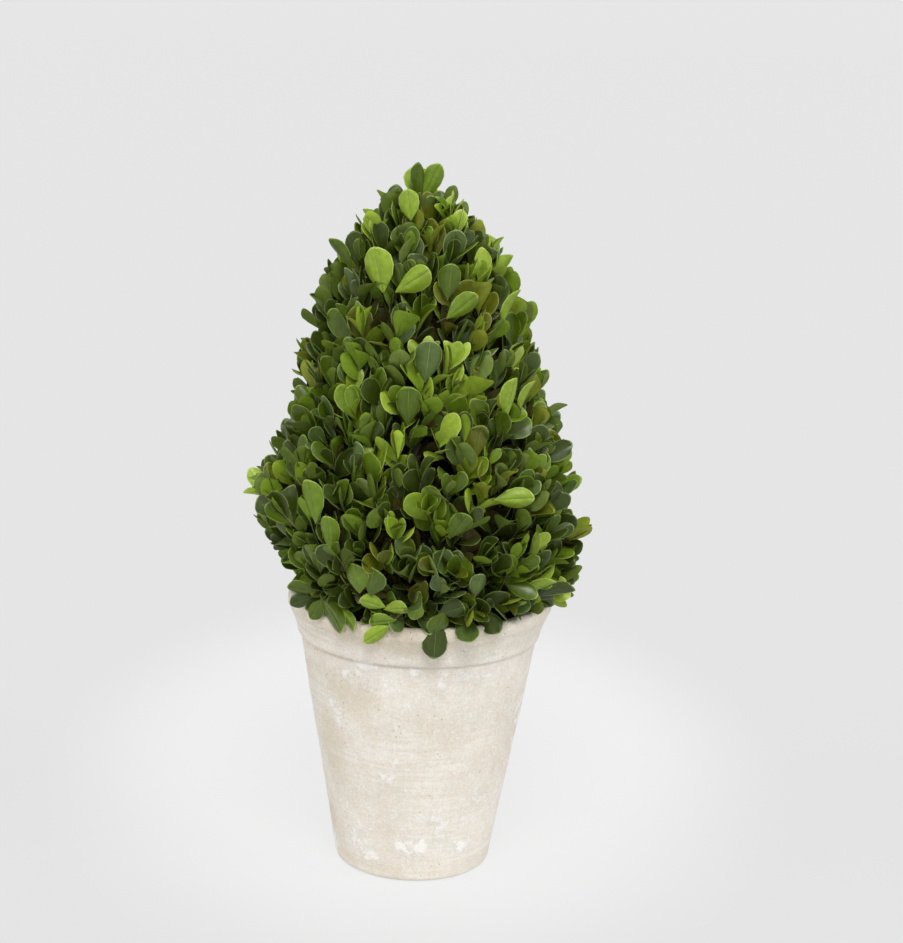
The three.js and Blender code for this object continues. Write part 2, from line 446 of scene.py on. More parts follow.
def turned(name, profile, segments, relief):
    """A closed mesh turned about the Z axis, each of its points moved as relief says. The
    profile starts and ends on the axis."""
    rings = profile[1:-1]
    points = [Vector((0, 0, profile[0].y)), Vector((0, 0, profile[-1].y))]
    for radius, height in rings:
        for i in range(segments):
            turn = FULL_TURN * i / segments
            point = Vector((radius * math.cos(turn), radius * math.sin(turn), height))
            points.append(relief(point))
    faces = []
    last = 2 + (len(rings) - 1) * segments
    for i in range(segments):
        j = (i + 1) % segments
        faces.append((0, 2 + j, 2 + i))
        faces.append((1, last + i, last + j))
        for ring in range(len(rings) - 1):
            here = 2 + ring * segments
            above = here + segments
            faces.append((here + i, here + j, above + j, above + i))
    return mesh_from(name, points, faces)


# How far the flare of the rim runs outward for its rise, at the neck and at its top.
NECK_SLOPE, TOP_SLOPE = 0.25, 0.5
# Steps in the curves of the pot's profile, from the foot round the lip to the inside.
FOOT_STEPS, SHOULDER_STEPS, FLARE_STEPS, LIP_STEPS, EDGE_STEPS = 6, 5, 12, 6, 4


def pot_radius(pot, height):
    """Outer radius of the pot's tapered body at a height."""
    return mix(pot.foot_radius, pot.neck_radius, height / pot.neck_height)


def outer_wall(pot):
    """Profile of the pot's outside, from its foot to the outer edge of its lip."""
    rounding = pot.foot_rounding
    foot_middle = Vector((pot.foot_radius - rounding, rounding))
    foot = arc(foot_middle, rounding, -QUARTER_TURN, 0, FOOT_STEPS)
    neck = Vector((pot.neck_radius, pot.neck_height))
    shoulder = arc(neck + Vector((0, pot.bead)), pot.bead, -QUARTER_TURN, 0, SHOULDER_STEPS)
    low, top = shoulder[-1], Vector((pot.rim_radius, pot.flare_top))
    rise = top.y - low.y
    steep, slanting = Vector((NECK_SLOPE, 1)) * rise / 3, Vector((TOP_SLOPE, 1)) * rise / 3
    flare = geometry.interpolate_bezier(low, low + steep, top - slanting, top, FLARE_STEPS)
    lip_middle = Vector((pot.rim_radius - pot.lip, pot.height - pot.lip))
    lip = arc(lip_middle, pot.lip, 0, QUARTER_TURN, LIP_STEPS)
    return [*foot, *shoulder, *(point.to_2d() for point in flare[1:]), *lip]


def inner_wall(pot):
    """Profile of the pot's inside, from the inner edge of its lip down to its floor."""
    edge = Vector((pot.rim_radius - pot.wall, pot.height - pot.lip))
    return [
        *arc(edge, pot.lip / 2, QUARTER_TURN, 2 * QUARTER_TURN, EDGE_STEPS),
        Vector((pot.neck_radius - pot.wall, pot.neck_height)),
        Vector((pot_radius(pot, pot.floor) - pot.wall, pot.floor)),
    ]


class Daub(NamedTuple):
    """A patch on the outside of the pot: its turn in degrees, its height and its half-sizes."""

    turn: float
    height: float
    width: float
    tall: float
    strength: float = 1.0


# Patches of thick lime and of brown stain on the pot's front, in degrees and metres. Two of the
# stain patches are painted shade: a band along the top of the rim under the leaves, partly stain
# too, and a thin line in the groove under the collar.
FRONT_LIME = (
    Daub(-115, 0.168, 0.010, 0.005),
    Daub(-120, 0.157, 0.020, 0.012, 0.6),
    Daub(-90, 0.167, 0.009, 0.003),
    Daub(-75, 0.165, 0.007, 0.004),
    Daub(-80, 0.154, 0.005, 0.008),
    Daub(-60, 0.161, 0.018, 0.003, 0.6),
    Daub(-140, 0.131, 0.003, 0.006, 0.9),
    Daub(-135, 0.124, 0.004, 0.007),
    Daub(-105, 0.086, 0.006, 0.008, 0.9),
    Daub(-100, 0.094, 0.012, 0.006, 0.5),
    Daub(-130, 0.030, 0.006, 0.010),
    Daub(-120, 0.016, 0.008, 0.005),
    Daub(-90, 0.029, 0.012, 0.009),
    Daub(-75, 0.050, 0.011, 0.007, 0.8),
    Daub(-55, 0.026, 0.009, 0.006, 0.9),
    Daub(-50, 0.056, 0.020, 0.018, 0.5),
    Daub(-90, 0.040, 0.045, 0.022, 0.4),
)
FRONT_STAIN_AND_SHADE = (
    Daub(-125, 0.142, 0.026, 0.020, 0.9),
    Daub(-110, 0.120, 0.030, 0.012, 0.5),
    Daub(-145, 0.093, 0.016, 0.034, 0.8),
    Daub(-95, 0.184, 0.012, 0.004),
    Daub(-105, 0.187, 0.008, 0.004, 0.8),
    Daub(-60, 0.187, 0.016, 0.003, 0.8),
    Daub(-150, 0.185, 0.030, 0.007, 0.7),
    # Painted shade under the leaves along the top of the rim, with some brown stain.
    Daub(-109, 0.197, 0.076, 0.012, 1.6),
    # Painted shadow in the groove under the collar.
    Daub(-120, 0.170, 0.080, 0.002, 0.8),
    Daub(-85, 0.115, 0.034, 0.030, 0.5),
    Daub(-90, 0.009, 0.200, 0.008, 0.6),
)
# Where patches lie on the sides and the back: turns in degrees, and three stretches of height
# of which each patch has one, the foot, the neck and the whole body.
BACK_TURNS = (-20, 200)
BACK_STRETCHES = ((0.01, 0.06), (0.15, 0.17), (0.01, 0.17))
# Numbers and sizes of those patches.
BACK_LIME_COUNT, BACK_LIME_SIZE = 22, 12 * MM
BACK_STAIN_COUNT, BACK_STAIN_SIZE = 9, 17 * MM
# How fast a patch fades from its middle, and the distance at which it ends, with distances
# in half-sizes, squared.
DAUB_FADE, DAUB_REACH = 0.7, 6
# Sizes of the pot's swellings, of the grit in its clay, of the lumps in its lime and of the
# waves in the roll under its rim.
SWELL, GRIT, LUMP, WAVE = 0.05, 0.005, 0.006, 0.014
# The floor keeps its shape within this share of the foot's radius.
STILL_FLOOR = 0.7
# Height of the grit beside the swellings, and how strongly the roll waves.
GRIT_SHARE, WAVINESS = 0.15, 1.4
# Fineness of the pot's mesh: steps up the outside and the inside, and segments round it.
OUTSIDE_STEP, INSIDE_STEP, POT_SEGMENTS = 2.6 * MM, 8 * MM, 176


def back_daubs(count, rng, size):
    """Patches strewn over the sides and the back, thicker near the neck and the foot."""
    for _ in range(count):
        height = rng.choice([rng.uniform(*stretch) for stretch in BACK_STRETCHES])
        width = rng.uniform(0.5, 1.3) * size
        tall = rng.uniform(0.5, 1.1) * size
        yield Daub(rng.uniform(*BACK_TURNS), height, width, tall)


def daub_at(daubs, point):
    """How strongly patches cover a point, from nought to one."""
    turn = math.degrees(math.atan2(point.y, point.x))
    radius = Vector(point[:2]).length
    cover = 0.0
    for daub in daubs:
        off = math.radians((turn - daub.turn + 180) % 360 - 180) * radius
        reach = (off / daub.width) ** 2 + ((point.z - daub.height) / daub.tall) ** 2
        if reach < DAUB_REACH:
            cover = max(cover, daub.strength * math.exp(-reach * DAUB_FADE))
    return cover


def hand_made(pot, lime):
    """Unevenness of a pot that was pressed by hand and daubed with lime."""

    def moved(point):
        outward = Vector((point.x, point.y, 0))
        if outward.length < pot.foot_radius * STILL_FLOOR or point.z < pot.foot_rounding / 2:
            return point
        outward.normalize()
        broad = noise.fractal(point / SWELL, 1.0, 2.0, 3)
        grit = noise.fractal(point / GRIT, 0.9, 2.0, 3)
        lift = pot.relief * (broad + GRIT_SHARE * grit - 0.5)
        lift += pot.crust * daub_at(lime, point) * (1 + noise.noise(point / LUMP))
        off = (point.z - pot.neck_height - pot.bead - pot.roll_width) / pot.roll_width
        waves = 1 + WAVINESS * noise.noise(point / WAVE)
        lift += pot.roll * math.exp(-off * off) * waves
        return point + outward * lift

    return moved


def clay_finish(pot):
    """Clay under a worn limewash: cream, with white crusts, blush, bloom, stains and pits, and
    painted shade under the leaves on the rim and under the collar.
    """
    skin = Finish("limewashed_clay", Specular_IOR_Level=0.2)
    lime_field = skin.add("ShaderNodeAttribute", attribute_name="lime").outputs["Fac"]
    stain_and_shade_field = skin.add("ShaderNodeAttribute", attribute_name="stain").outputs["Fac"]
    mottle = skin.clouds(0.009, detail=8, roughness=0.7)
    grain = skin.clouds(0.0015, detail=5, roughness=0.7)
    base = washed(skin, pot)
    # Brown stain, and painted shade where the patches mark the rim under the leaves and the groove
    # under the collar.
    stain_and_shade_amount = skin.calc("ADD", stain_and_shade_field, skin.band(mottle, 0.2, 0.8, -0.5, 0.5))
    base = skin.blend(skin.band(stain_and_shade_amount, 0.25, 0.95, 0.0, 0.65), base, rgba(pot.stain))
    base = skin.blend(skin.band(mottle, 0.3, 0.72, 0.0, 0.3), base, rgba(pot.lime))
    base, brushed = brush_marks(skin, pot, base)
    crumble = skin.clouds(0.009, detail=12, roughness=0.76, distortion=0.3)
    limed = skin.calc("ADD", lime_field, skin.band(crumble, 0.2, 0.8, -0.9, 0.9))
    crust = skin.band(limed, 0.42, 0.92)
    base = skin.blend(skin.calc("MULTIPLY", crust, 0.7), base, rgba(pot.lime))
    pitted = pits(skin, stain_and_shade_field)
    base = skin.blend(skin.calc("MULTIPLY", pitted, 0.7), base, rgba(pot.pit))
    speckle = skin.band(grain, 0.3, 0.7, 0.9, 1.05)
    grey = skin.add("ShaderNodeCombineColor", {0: speckle, 1: speckle, 2: speckle}).outputs[0]
    base = skin.blend(1.0, base, grey, "MULTIPLY")
    rough = skin.band(mottle, 0.3, 0.7, 0.82, 0.95)
    relief = skin.calc("ADD", skin.calc("MULTIPLY", crust, 0.6), skin.calc("MULTIPLY", grain, 0.3))
    relief = skin.calc("ADD", relief, skin.calc("MULTIPLY", brushed, 0.35))
    relief = skin.calc("ADD", relief, skin.calc("MULTIPLY", mottle, 0.5))
    relief = skin.calc("SUBTRACT", relief, skin.calc("MULTIPLY", pitted, 0.8))
    return skin.finish(base, rough, relief, depth=0.5 * MM, strength=0.6)


def washed(skin, pot):
    """The wash itself: lime over clay, with broad blush and bloom and fine freckles."""
    broad = skin.clouds(0.07, detail=4)
    blush = skin.clouds(0.045, detail=8, roughness=0.62)
    bloom = skin.clouds(0.05, detail=8, roughness=0.62, place=skin.stretched(1.2, 1, 1.3))
    freckle = skin.clouds(0.0035, detail=6, roughness=0.7)
    base = skin.blend(skin.band(broad, 0.35, 0.7), rgba(pot.clay), rgba(pot.lime))
    base = skin.blend(skin.band(broad, 0.3, 0.75, 0.75, 0.45), base, rgba(pot.clay))
    base = skin.blend(skin.band(blush, 0.44, 0.68, 0.0, 0.5), base, rgba(pot.blush))
    base = skin.blend(skin.band(bloom, 0.46, 0.66, 0.0, 0.6), base, rgba(pot.bloom))
    base = skin.blend(skin.band(freckle, 0.45, 0.68, 0.0, 0.6), base, rgba(pot.blush))
    return skin.blend(skin.band(freckle, 0.5, 0.32, 0.0, 0.5), base, rgba(pot.lime))


def brush_marks(skin, pot, base):
    """Pale marks of the brush round the pot, and bloom drawn down it. Gives the marks too."""
    level = skin.around(pot.foot_radius, 0.16, 0.16, 2.4)
    brushed = skin.clouds(0.007, detail=6, roughness=0.65, place=level)
    where_brushed = skin.band(skin.clouds(0.05), 0.42, 0.6)
    lines = skin.calc("MULTIPLY", skin.band(brushed, 0.42, 0.62, 0.0, 0.35), where_brushed)
    base = skin.blend(lines, base, rgba(pot.lime))
    upright = skin.around(pot.foot_radius, 1.6, 1.6, 0.2)
    drawn = skin.clouds(0.006, detail=6, roughness=0.65, place=upright)
    return skin.blend(skin.band(drawn, 0.48, 0.66, 0.0, 0.3), base, rgba(pot.bloom)), brushed


def pits(skin, stain_and_shade_field):
    """Small pits in some places, more of them on the stains and on the painted shade along the rim
    and under the collar.
    """
    holes = skin.band(skin.spots(0.0042), 0.07, 0.16, 1.0, 0.0)
    stain_and_shade_amount = skin.calc("MULTIPLY", stain_and_shade_field, 0.12)
    sparse = skin.calc("ADD", skin.clouds(0.02, detail=3), stain_and_shade_amount)
    return skin.calc("MULTIPLY", holes, skin.band(sparse, 0.54, 0.66))


def soil_finish(pot):
    """Dark, damp mix with lighter chips of bark."""
    earth = Finish("potting_mix", Roughness=0.95, Specular_IOR_Level=0.2)
    chips = earth.band(earth.spots(0.006), 0.15, 0.4, 1.0, 0.0)
    crumbs = earth.clouds(0.003, detail=5, roughness=0.7)
    base = earth.blend(earth.band(crumbs, 0.3, 0.8), rgba(pot.soil), rgba(pot.soil_chips))
    base = earth.blend(earth.calc("MULTIPLY", chips, 0.5), base, rgba(pot.soil_chips))
    return earth.finish(base, None, crumbs, depth=1.5 * MM)


class TOPIARY_OT_pot(bpy.types.Operator):
    """Turn the clay pot, with the unevenness and the wash of the real one"""

    bl_idname = "topiary.pot"
    bl_label = "Pot"

    def execute(self, context):
        pot = settings("pot")
        outside = spaced([Vector((0, 0)), *outer_wall(pot)], OUTSIDE_STEP)
        inside = spaced(inner_wall(pot), INSIDE_STEP)
        profile = [*outside, *inside[1:], Vector((0, pot.floor))]
        rng = random.Random("daubs")
        lime = [*FRONT_LIME, *back_daubs(BACK_LIME_COUNT, rng, BACK_LIME_SIZE)]
        # Stain patches; two on the front are painted shade.
        stain = [*FRONT_STAIN_AND_SHADE, *back_daubs(BACK_STAIN_COUNT, rng, BACK_STAIN_SIZE)]
        mesh = turned("pot_limewashed", profile, POT_SEGMENTS, hand_made(pot, lime))
        for name, daubs in (("lime", lime), ("stain", stain)):
            cover = [daub_at(daubs, vertex.co) for vertex in mesh.vertices]
            mesh.attributes.new(name, "FLOAT", "POINT").data.foreach_set("value", cover)
        mesh.materials.append(clay_finish(pot))
        add_to_object(new_object("pot_limewashed", mesh), "pot", "pot")
        return {"FINISHED"}


# The soil: its gap from the wall, how far its top drops at the wall and at the stem, the size
# of its crumbs in metres and their height in millimetres, and the fineness of its mesh.
SOIL_GAP = 0.4 * MM
SOIL_EDGE_DROP, SOIL_MIDDLE_DROP = 5 * MM, 1 * MM
CRUMB, CRUMB_HEIGHT = 0.006, 0.8
SOIL_STEP, SOIL_SEGMENTS = 2.5 * MM, 96


class TOPIARY_OT_soil(bpy.types.Operator):
    """Fill the pot with potting mix, crumbly on top"""

    bl_idname = "topiary.soil"
    bl_label = "Soil"

    def execute(self, context):
        pot = settings("pot")
        bottom = pot.floor + SOIL_GAP
        low = pot_radius(pot, pot.floor) - pot.wall - SOIL_GAP
        high = pot.neck_radius - pot.wall - SOIL_GAP
        edge = Vector((high, SOIL_HIGH.z - SOIL_EDGE_DROP))
        middle = Vector((0, SOIL_HIGH.z - SOIL_MIDDLE_DROP))
        wall = [Vector((0, bottom)), Vector((low, bottom)), Vector((high, pot.neck_height))]

        def crumbly(point):
            if point.z < edge.y or Vector(point[:2]).length > high - SOIL_GAP:
                return point
            return point + UP * noise.fractal(point / CRUMB, 0.8, 2.0, 4) * CRUMB_HEIGHT * MM

        profile = [*wall, *spaced([edge, middle], SOIL_STEP)]
        mesh = turned("potting_mix", profile, SOIL_SEGMENTS, crumbly)
        mesh.materials.append(soil_finish(pot))
        add_to_object(new_object("potting_mix", mesh), "soil", "soil")
        return {"FINISHED"}


# ---------------------------------------------------------------- stem and boughs


def bark_finish(wood):
    """Grey-brown bark, darker in its furrows."""
    bark = Finish("boxwood_bark", Specular_IOR_Level=0.2)
    plates = bark.clouds(0.004, detail=6, roughness=0.65, place=bark.stretched(1, 1, 0.35))
    broad = bark.clouds(0.02, detail=3)
    base = bark.blend(bark.band(plates, 0.36, 0.6), rgba(wood.furrow), rgba(wood.bark))
    base = bark.blend(bark.band(broad, 0.5, 0.75, 0.0, 0.4), base, rgba(wood.furrow))
    rough = bark.band(plates, 0.3, 0.7, 0.95, 0.75)
    return bark.finish(base, rough, plates, depth=0.4 * MM, strength=0.8)


# Points of a solid that are closer together than this are one point.
SAME_POINT = 0.01 * MM
# Distance between the bark's fissures, and their width as a share of their length.
FISSURE_SPACING, FISSURE_STRETCH = 0.0045, 0.3


def merged_copy(node):
    """A solid's mesh with its loose triangles joined."""
    shape = bmesh.new()
    shape.from_mesh(NODES[node].data)
    bmesh.ops.remove_doubles(shape, verts=shape.verts, dist=SAME_POINT)
    mesh = bpy.data.meshes.new(node)
    shape.to_mesh(mesh)
    shape.free()
    return mesh


def barked(node, wood, axis):
    """A finer copy of a wooden solid, with fissures that run along its axis."""
    carrier = new_object(f"{node}_carrier", merged_copy(node), smooth=False)
    remesh = carrier.modifiers.new("grain", "REMESH")
    remesh.mode = "VOXEL"
    remesh.voxel_size = wood.grain
    fine = mesh_made_by(carrier)
    stretch = Matrix.Scale(FISSURE_STRETCH, 3, axis)
    normals = [vertex.normal.copy() for vertex in fine.vertices]
    for vertex, normal in zip(fine.vertices, normals):
        place = stretch @ vertex.co
        furrow = abs(noise.fractal(place / FISSURE_SPACING, 0.9, 2.1, 4))
        across = 1 - abs(normal.dot(axis))
        vertex.co -= normal * wood.fissures * across * (1 - smooth_step(furrow, 0.0, 0.4))
    return fine


class TOPIARY_OT_wood(bpy.types.Operator):
    """Give the stem and each bough their bark"""

    bl_idname = "topiary.wood"
    bl_label = "Stem and boughs"

    def execute(self, context):
        wood = settings("wood")
        finish = bark_finish(wood)
        for node in WOODEN:
            axis = UP if node == "trunk" else bough_line(node)[1]
            mesh = barked(node, wood, axis)
            mesh.materials.clear()
            mesh.materials.append(finish)
            add_to_object(new_object(f"{node}_bark", mesh), "bark", node)
        return {"FINISHED"}


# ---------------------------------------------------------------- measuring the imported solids


# Share of a bough's length that counts as its end.
END_SHARE = 0.12
# Places at which the stem is measured, and how many of its points are averaged at each.
STEM_STEPS, STEM_POINTS = 12, 24


def average(points):
    return sum(points, Vector()) / len(points)


def bough_line(node):
    """The far end of a bough, and the way from its root at the stem to that end."""
    low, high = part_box(node)
    outward = ((low + high) / 2 - stem_at(low.z)).normalized()
    reach = [(vertex.co.dot(outward), vertex.co) for vertex in NODES[node].data.vertices]
    near = min(distance for distance, _ in reach)
    far = max(distance for distance, _ in reach)
    slack = (far - near) * END_SHARE
    root = average([point for distance, point in reach if distance < near + slack])
    end = average([point for distance, point in reach if distance > far - slack])
    return end, (end - root).normalized()


@lru_cache(maxsize=1)
def stem_line():
    """Middle of the stem at a row of heights, from the trunk's own solid."""
    low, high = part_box("trunk")
    heights = [mix(low.z, high.z, i / STEM_STEPS) for i in range(STEM_STEPS + 1)]
    points = [vertex.co for vertex in NODES["trunk"].data.vertices]
    line = []
    for height in heights:
        near = sorted(points, key=lambda point: abs(point.z - height))
        middle = average(near[:STEM_POINTS])
        line.append(Vector((middle.x, middle.y, height)))
    return line


def stem_at(height):
    """The stem's middle at a height."""
    line = stem_line()
    for a, b in zip(line, line[1:]):
        if height < b.z:
            return a.lerp(b, max(0.0, (height - a.z) / (b.z - a.z)))
    return line[-1].copy()


def triangles(node):
    """A solid's points, and its triangles as the numbers of their corners."""
    mesh = NODES[node].data
    mesh.calc_loop_triangles()
    points = [vertex.co.copy() for vertex in mesh.vertices]
    return points, [tuple(triangle.vertices) for triangle in mesh.loop_triangles]


# ---------------------------------------------------------------- growth of the crown


# Forms of leaf by number: those with a margin, plain ones for the depth of the crown, and
# those of the listed leaves, from round to slim.
FINE_FORMS = range(8)
PLAIN_FORMS = range(8, 10)
LAID_FORMS = range(10, 14)
LAID_WIDTHS = (0.84, 0.68, 0.54, 0.40)
# Tints of leaf by number.
DEEP, GREEN, DUSKY, OLIVE, FRESH, LIGHT, LIME, SHADED = range(8)


class Leaf(NamedTuple):
    place: Vector
    turn: Quaternion
    size: float
    form: int
    tint: int


class Limb(NamedTuple):
    points: list
    radii: list


class Seat(NamedTuple):
    """Where a spray ends, the way it points, and the pairs of leaves that it bears."""

    bud: Vector
    heading: Vector
    pairs: int
    tint: int
    forms: range = FINE_FORMS


class LaidLeaf(NamedTuple):
    """A listed leaf laid on the front of the crown, seen from the front: where its stalk is,
    right of the pot's axis and above the floor, its lean to the right of upright, its length
    and width, its tint, its roll, and how deep under the clipped face its stalk starts.
    Millimetres and degrees."""

    across: float
    height: float
    lean: float
    length: float
    width: float
    tint: int
    roll: float = 0
    depth: float = 9


class Hollow(NamedTuple):
    """A place where the clipped face is drawn in: its turn about the stem in degrees, its
    height, its depth, which is below nought where the face swells, and its spread both ways."""

    turn: float
    height: float
    depth: float
    width: float
    tall: float


# How deep the bud of the leading shoot lies under the tip, and how far below it the buds of
# all the other sprays stay.
LEADER_DEPTH, LEADER_ROOM = 26 * MM, 6 * MM
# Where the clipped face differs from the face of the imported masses.
HOLLOWS = (
    Hollow(180, 0.335, 0.012, 50, 0.040),
    Hollow(185, 0.294, 0.012, 40, 0.012),
    Hollow(185, 0.250, 0.009, 40, 0.009),
    Hollow(190, 0.212, 0.018, 45, 0.016),
    Hollow(20, 0.350, -0.003, 40, 0.030),
)
# Lift of the sprays above level in degrees, at a row of heights in metres.
SPRAY_RISE = (
    (0.200, -4),
    (0.210, 12),
    (0.228, 32),
    (0.255, 46),
    (0.300, 58),
    (0.360, 66),
    (0.460, 75),
    (0.490, 86),
)
# Shares of the sprays that have each tint of leaf, from deep green to yellow-green, and the
# same with deeper tints as painted shade on the left side, away from the stronger right-hand lamp,
# whose middle is at a turn in degrees.
TINT_SHARES = (0.27, 0.22, 0.12, 0.09, 0.14, 0.11, 0.05)
PAINTED_SHADE_SHARES = (0.42, 0.21, 0.14, 0.09, 0.07, 0.05, 0.02)
PAINTED_SHADE_TURN = 200
# The leaves that stand out most on the front, listed one by one: the crest, the light pair on the
# shoulder, a few large ones down the face, and the cluster that spills over the rim.
LAID_LEAVES = (
    LaidLeaf(-10, 487, -5, 26, 10, GREEN, 0, 24),
    LaidLeaf(-3, 487, 25, 27, 15, FRESH, 0, 24),
    LaidLeaf(-15, 470, -10, 21, 13, LIGHT),
    LaidLeaf(-60, 435, -35, 26, 12, GREEN),
    LaidLeaf(-34, 423, -15, 31, 21, LIGHT),
    LaidLeaf(-25, 424, 60, 31, 18, LIGHT),
    LaidLeaf(15, 420, 5, 24, 15, GREEN),
    LaidLeaf(15, 408, 50, 26, 15, FRESH),
    LaidLeaf(57, 400, 20, 28, 12, LIGHT),
    LaidLeaf(0, 368, 5, 28, 19, DUSKY),
    LaidLeaf(-12, 340, 0, 26, 18, GREEN),
    LaidLeaf(60, 342, 5, 29, 14, LIGHT),
    LaidLeaf(70, 344, 20, 25, 11, LIGHT),
    LaidLeaf(38, 317, 0, 24, 18, OLIVE),
    LaidLeaf(-76, 272, -10, 31, 17, FRESH),
    LaidLeaf(52, 290, 85, 27, 13, LIGHT),
    LaidLeaf(-65, 253, 0, 27, 15, FRESH),
    LaidLeaf(20, 265, 30, 22, 16, GREEN),
    LaidLeaf(82, 211, 80, 32, 16, DEEP),
    LaidLeaf(72, 214, 60, 30, 12, LIGHT),
    LaidLeaf(-78, 213, -85, 19, 12, GREEN),
    LaidLeaf(-79, 209, -115, 16, 11, DEEP, 0, 6),
    LaidLeaf(-70, 210, -150, 17, 11, GREEN, 0, 6),
    LaidLeaf(-74, 211, 105, 34, 15, GREEN, -45),
    LaidLeaf(-60, 206, 100, 24, 11, FRESH, -30, 6),
    LaidLeaf(-44, 223, -5, 23, 18, FRESH),
    LaidLeaf(-36, 222, 10, 23, 19, GREEN),
    LaidLeaf(-25, 214, -75, 18, 12, LIGHT),
    LaidLeaf(-26, 212, 70, 20, 12, LIGHT),
    LaidLeaf(-17, 205, -100, 18, 11, FRESH, 0, 6),
    LaidLeaf(-20, 202, -125, 21, 12, LIGHT, 0, 2),
    LaidLeaf(0, 219, -160, 13, 11, FRESH),
    LaidLeaf(17, 211, -165, 18, 15, GREEN),
    LaidLeaf(13, 204, -175, 26, 19, DEEP, 10),
    LaidLeaf(41, 223, 10, 18, 13, DUSKY),
    LaidLeaf(14, 209, 60, 18, 14, DEEP),
)
# How far the blades of laid leaves stand off the clipped face, least and most, as the sine of
# the angle between them.
LAID_OUT = (math.sin(math.radians(17)), 0.75)
# Radii of a laid leaf's stalk, and where it runs: from this deep and this far back, and then
# from this deep, in millimetres.
LAID_STALK = [0.6 * MM, 0.5 * MM, 0.4 * MM]
STALK_DEEP, STALK_BACK, STALK_NEAR = 10, 4, 3
# Share of a leaf's length at which its blade is about widest.
BLADE_MIDDLE = 0.55
# Radius round a laid leaf in which no grown leaf may lie over it, as a share of its length and
# a length more; the share of that radius which the tips of grown leaves keep clear of; and how
# far behind it a grown leaf may stay.
CLEAR_SHARE, CLEAR_MORE, CLEAR_OF_TIPS, BEHIND = 0.32, 4 * MM, 0.6, 6 * MM
# Open places in the front of the crown and on the pot's rim, where no leaf shows: across,
# height and radius, in millimetres.
CLEARINGS = ((13, 220, 14), (50, 325, 7), (0, 199, 8), (84, 196, 8))
# For each pair of leaves on a spray, from the bud down: distance to the next pair as a share
# of the leafy stretch, lean from the spray's line in degrees, and size.
PAIRS = (
    (0.08, 14, 0.82),
    (0.22, 24, 0.98),
    (0.26, 33, 1.04),
    (0.29, 41, 1.0),
    (0.32, 48, 0.94),
)
# Pairs of leaves on a short spray and, more often, on a long one.
SHORT, LONG = 4, 5
# Height above the foot of a mass without a bough at which its twigs leave the stem.
STEM_START = 6 * MM
# Tries at placing a seat, for each square of crown as wide as the spacing.
TRIES = 14
# Distances over which the sprays' headings, their spacing and their depth drift, how strongly
# spacing and depth do, and how far the depth of one spray strays.
BUNCH, CROWDING, RAGGED = 0.05, 0.03, 0.025
SPACING_DRIFT, DEPTH_DRIFT, DEPTH_STRAY = 0.25, 0.5, 0.15
# Sideways drift of the headings beside their upward drift.
SIDEWAYS = 1.4
# Depth of the plain sprays below the others, beside the depth of a bud.
PLAIN_DEPTH = 1.4
# Heights between which the buds draw in under the tip, and how far.
CREST_LOW, CREST_HIGH, CREST_INSET = 0.42, 0.48, 8 * MM
# Sprays over the rim: their spacing beside the others' and how far it strays, heights over
# the rim and distances in from its edge in millimetres, and lift in degrees.
RIM_SPACING, RIM_STRAY = 0.95, 0.25
RIM_HEIGHTS, RIM_INSETS, RIM_RISE = (7, 13), (2, 9), (-14, 12)
# Limbs: where between its ends a fork lies and how far it strays, how unevenly sprays are
# parted at it, and the power of their number that gives a limb its thickness.
FORK_SHARES, WANDER = (0.34, 0.5), 0.08
PARTING, THICKENING = (0.36, 0.64), 0.42
# How far the ends of a spray's twig and of a limb steer its line, how they taper, and the
# steps in their lines.
SPRAY_STEER, SPRAY_TAPER, SPRAY_STEPS = (0.3, 0.45), (1.15, 0.6), 10
LIMB_STEER, LIMB_TAPER, LIMB_STEPS = (0.35, 0.35), (1.0, 0.88), 5
# How the leaves of a spray differ: their sizes, how far they face out of the crown, their
# stray about the spray's line, from pair to pair and in roll in radians, and in lean in
# degrees, and steps of tint.
SIZES, FACING = (0.7, 1.15), (-0.5, 1.3)
STRAY, PAIR_STRAY, ROLL_STRAY, LEAN_STRAY = 0.35, 0.12, 0.9, 12
TINT_STEPS = (-1, 0, 0, 0, 1)
# Longest gap between a bud and its first pair in millimetres, how far above level "out of the
# crown" is, and the heights between which the leaves' upward lift sets in.
BUD_GAP, OUT_RISE, LIFT_HEIGHTS = 1.5, 0.7, (0.205, 0.24)
# A leaf's least distance from the pot, the places along it that are tried, and how it is
# raised out of the way: by how much at a time, and how often at most.
POT_CLEARANCE = 1.5 * MM
TRIED_PLACES = (0.5, 0.8, 1)
RAISE_STEP, MOST_RAISES = math.radians(9), 9


def open_faces(node, tree):
    """A solid's triangles that look out of the crown, each with its area and normal."""
    points, faces = triangles(node)
    found = []
    for face in faces:
        a, b, c = (points[i] for i in face)
        normal = geometry.normal(a, b, c)
        start = (a + b + c) / 3 + normal * 2 * MM
        if tree.ray_cast(start, normal)[0] is None:
            found.append((geometry.area_tri(a, b, c), normal, (a, b, c)))
    return found


def scattered(faces, count, rng):
    """Points spread evenly by area over triangles, each with its face's normal."""
    weights = [area for area, _, _ in faces]
    for _, normal, (a, b, c) in rng.choices(faces, weights, k=count):
        u, v = rng.random(), rng.random()
        if u + v > 1:
            u, v = 1 - u, 1 - v
        yield a + (b - a) * u + (c - a) * v, normal


def rise_at(height):
    """Lift of the sprays above level at a height, in radians."""
    rows = SPRAY_RISE
    for (low, first), (high, second) in zip(rows, rows[1:]):
        if height < high:
            return math.radians(mix(first, second, max(0.0, (height - low) / (high - low))))
    return math.radians(rows[-1][1])


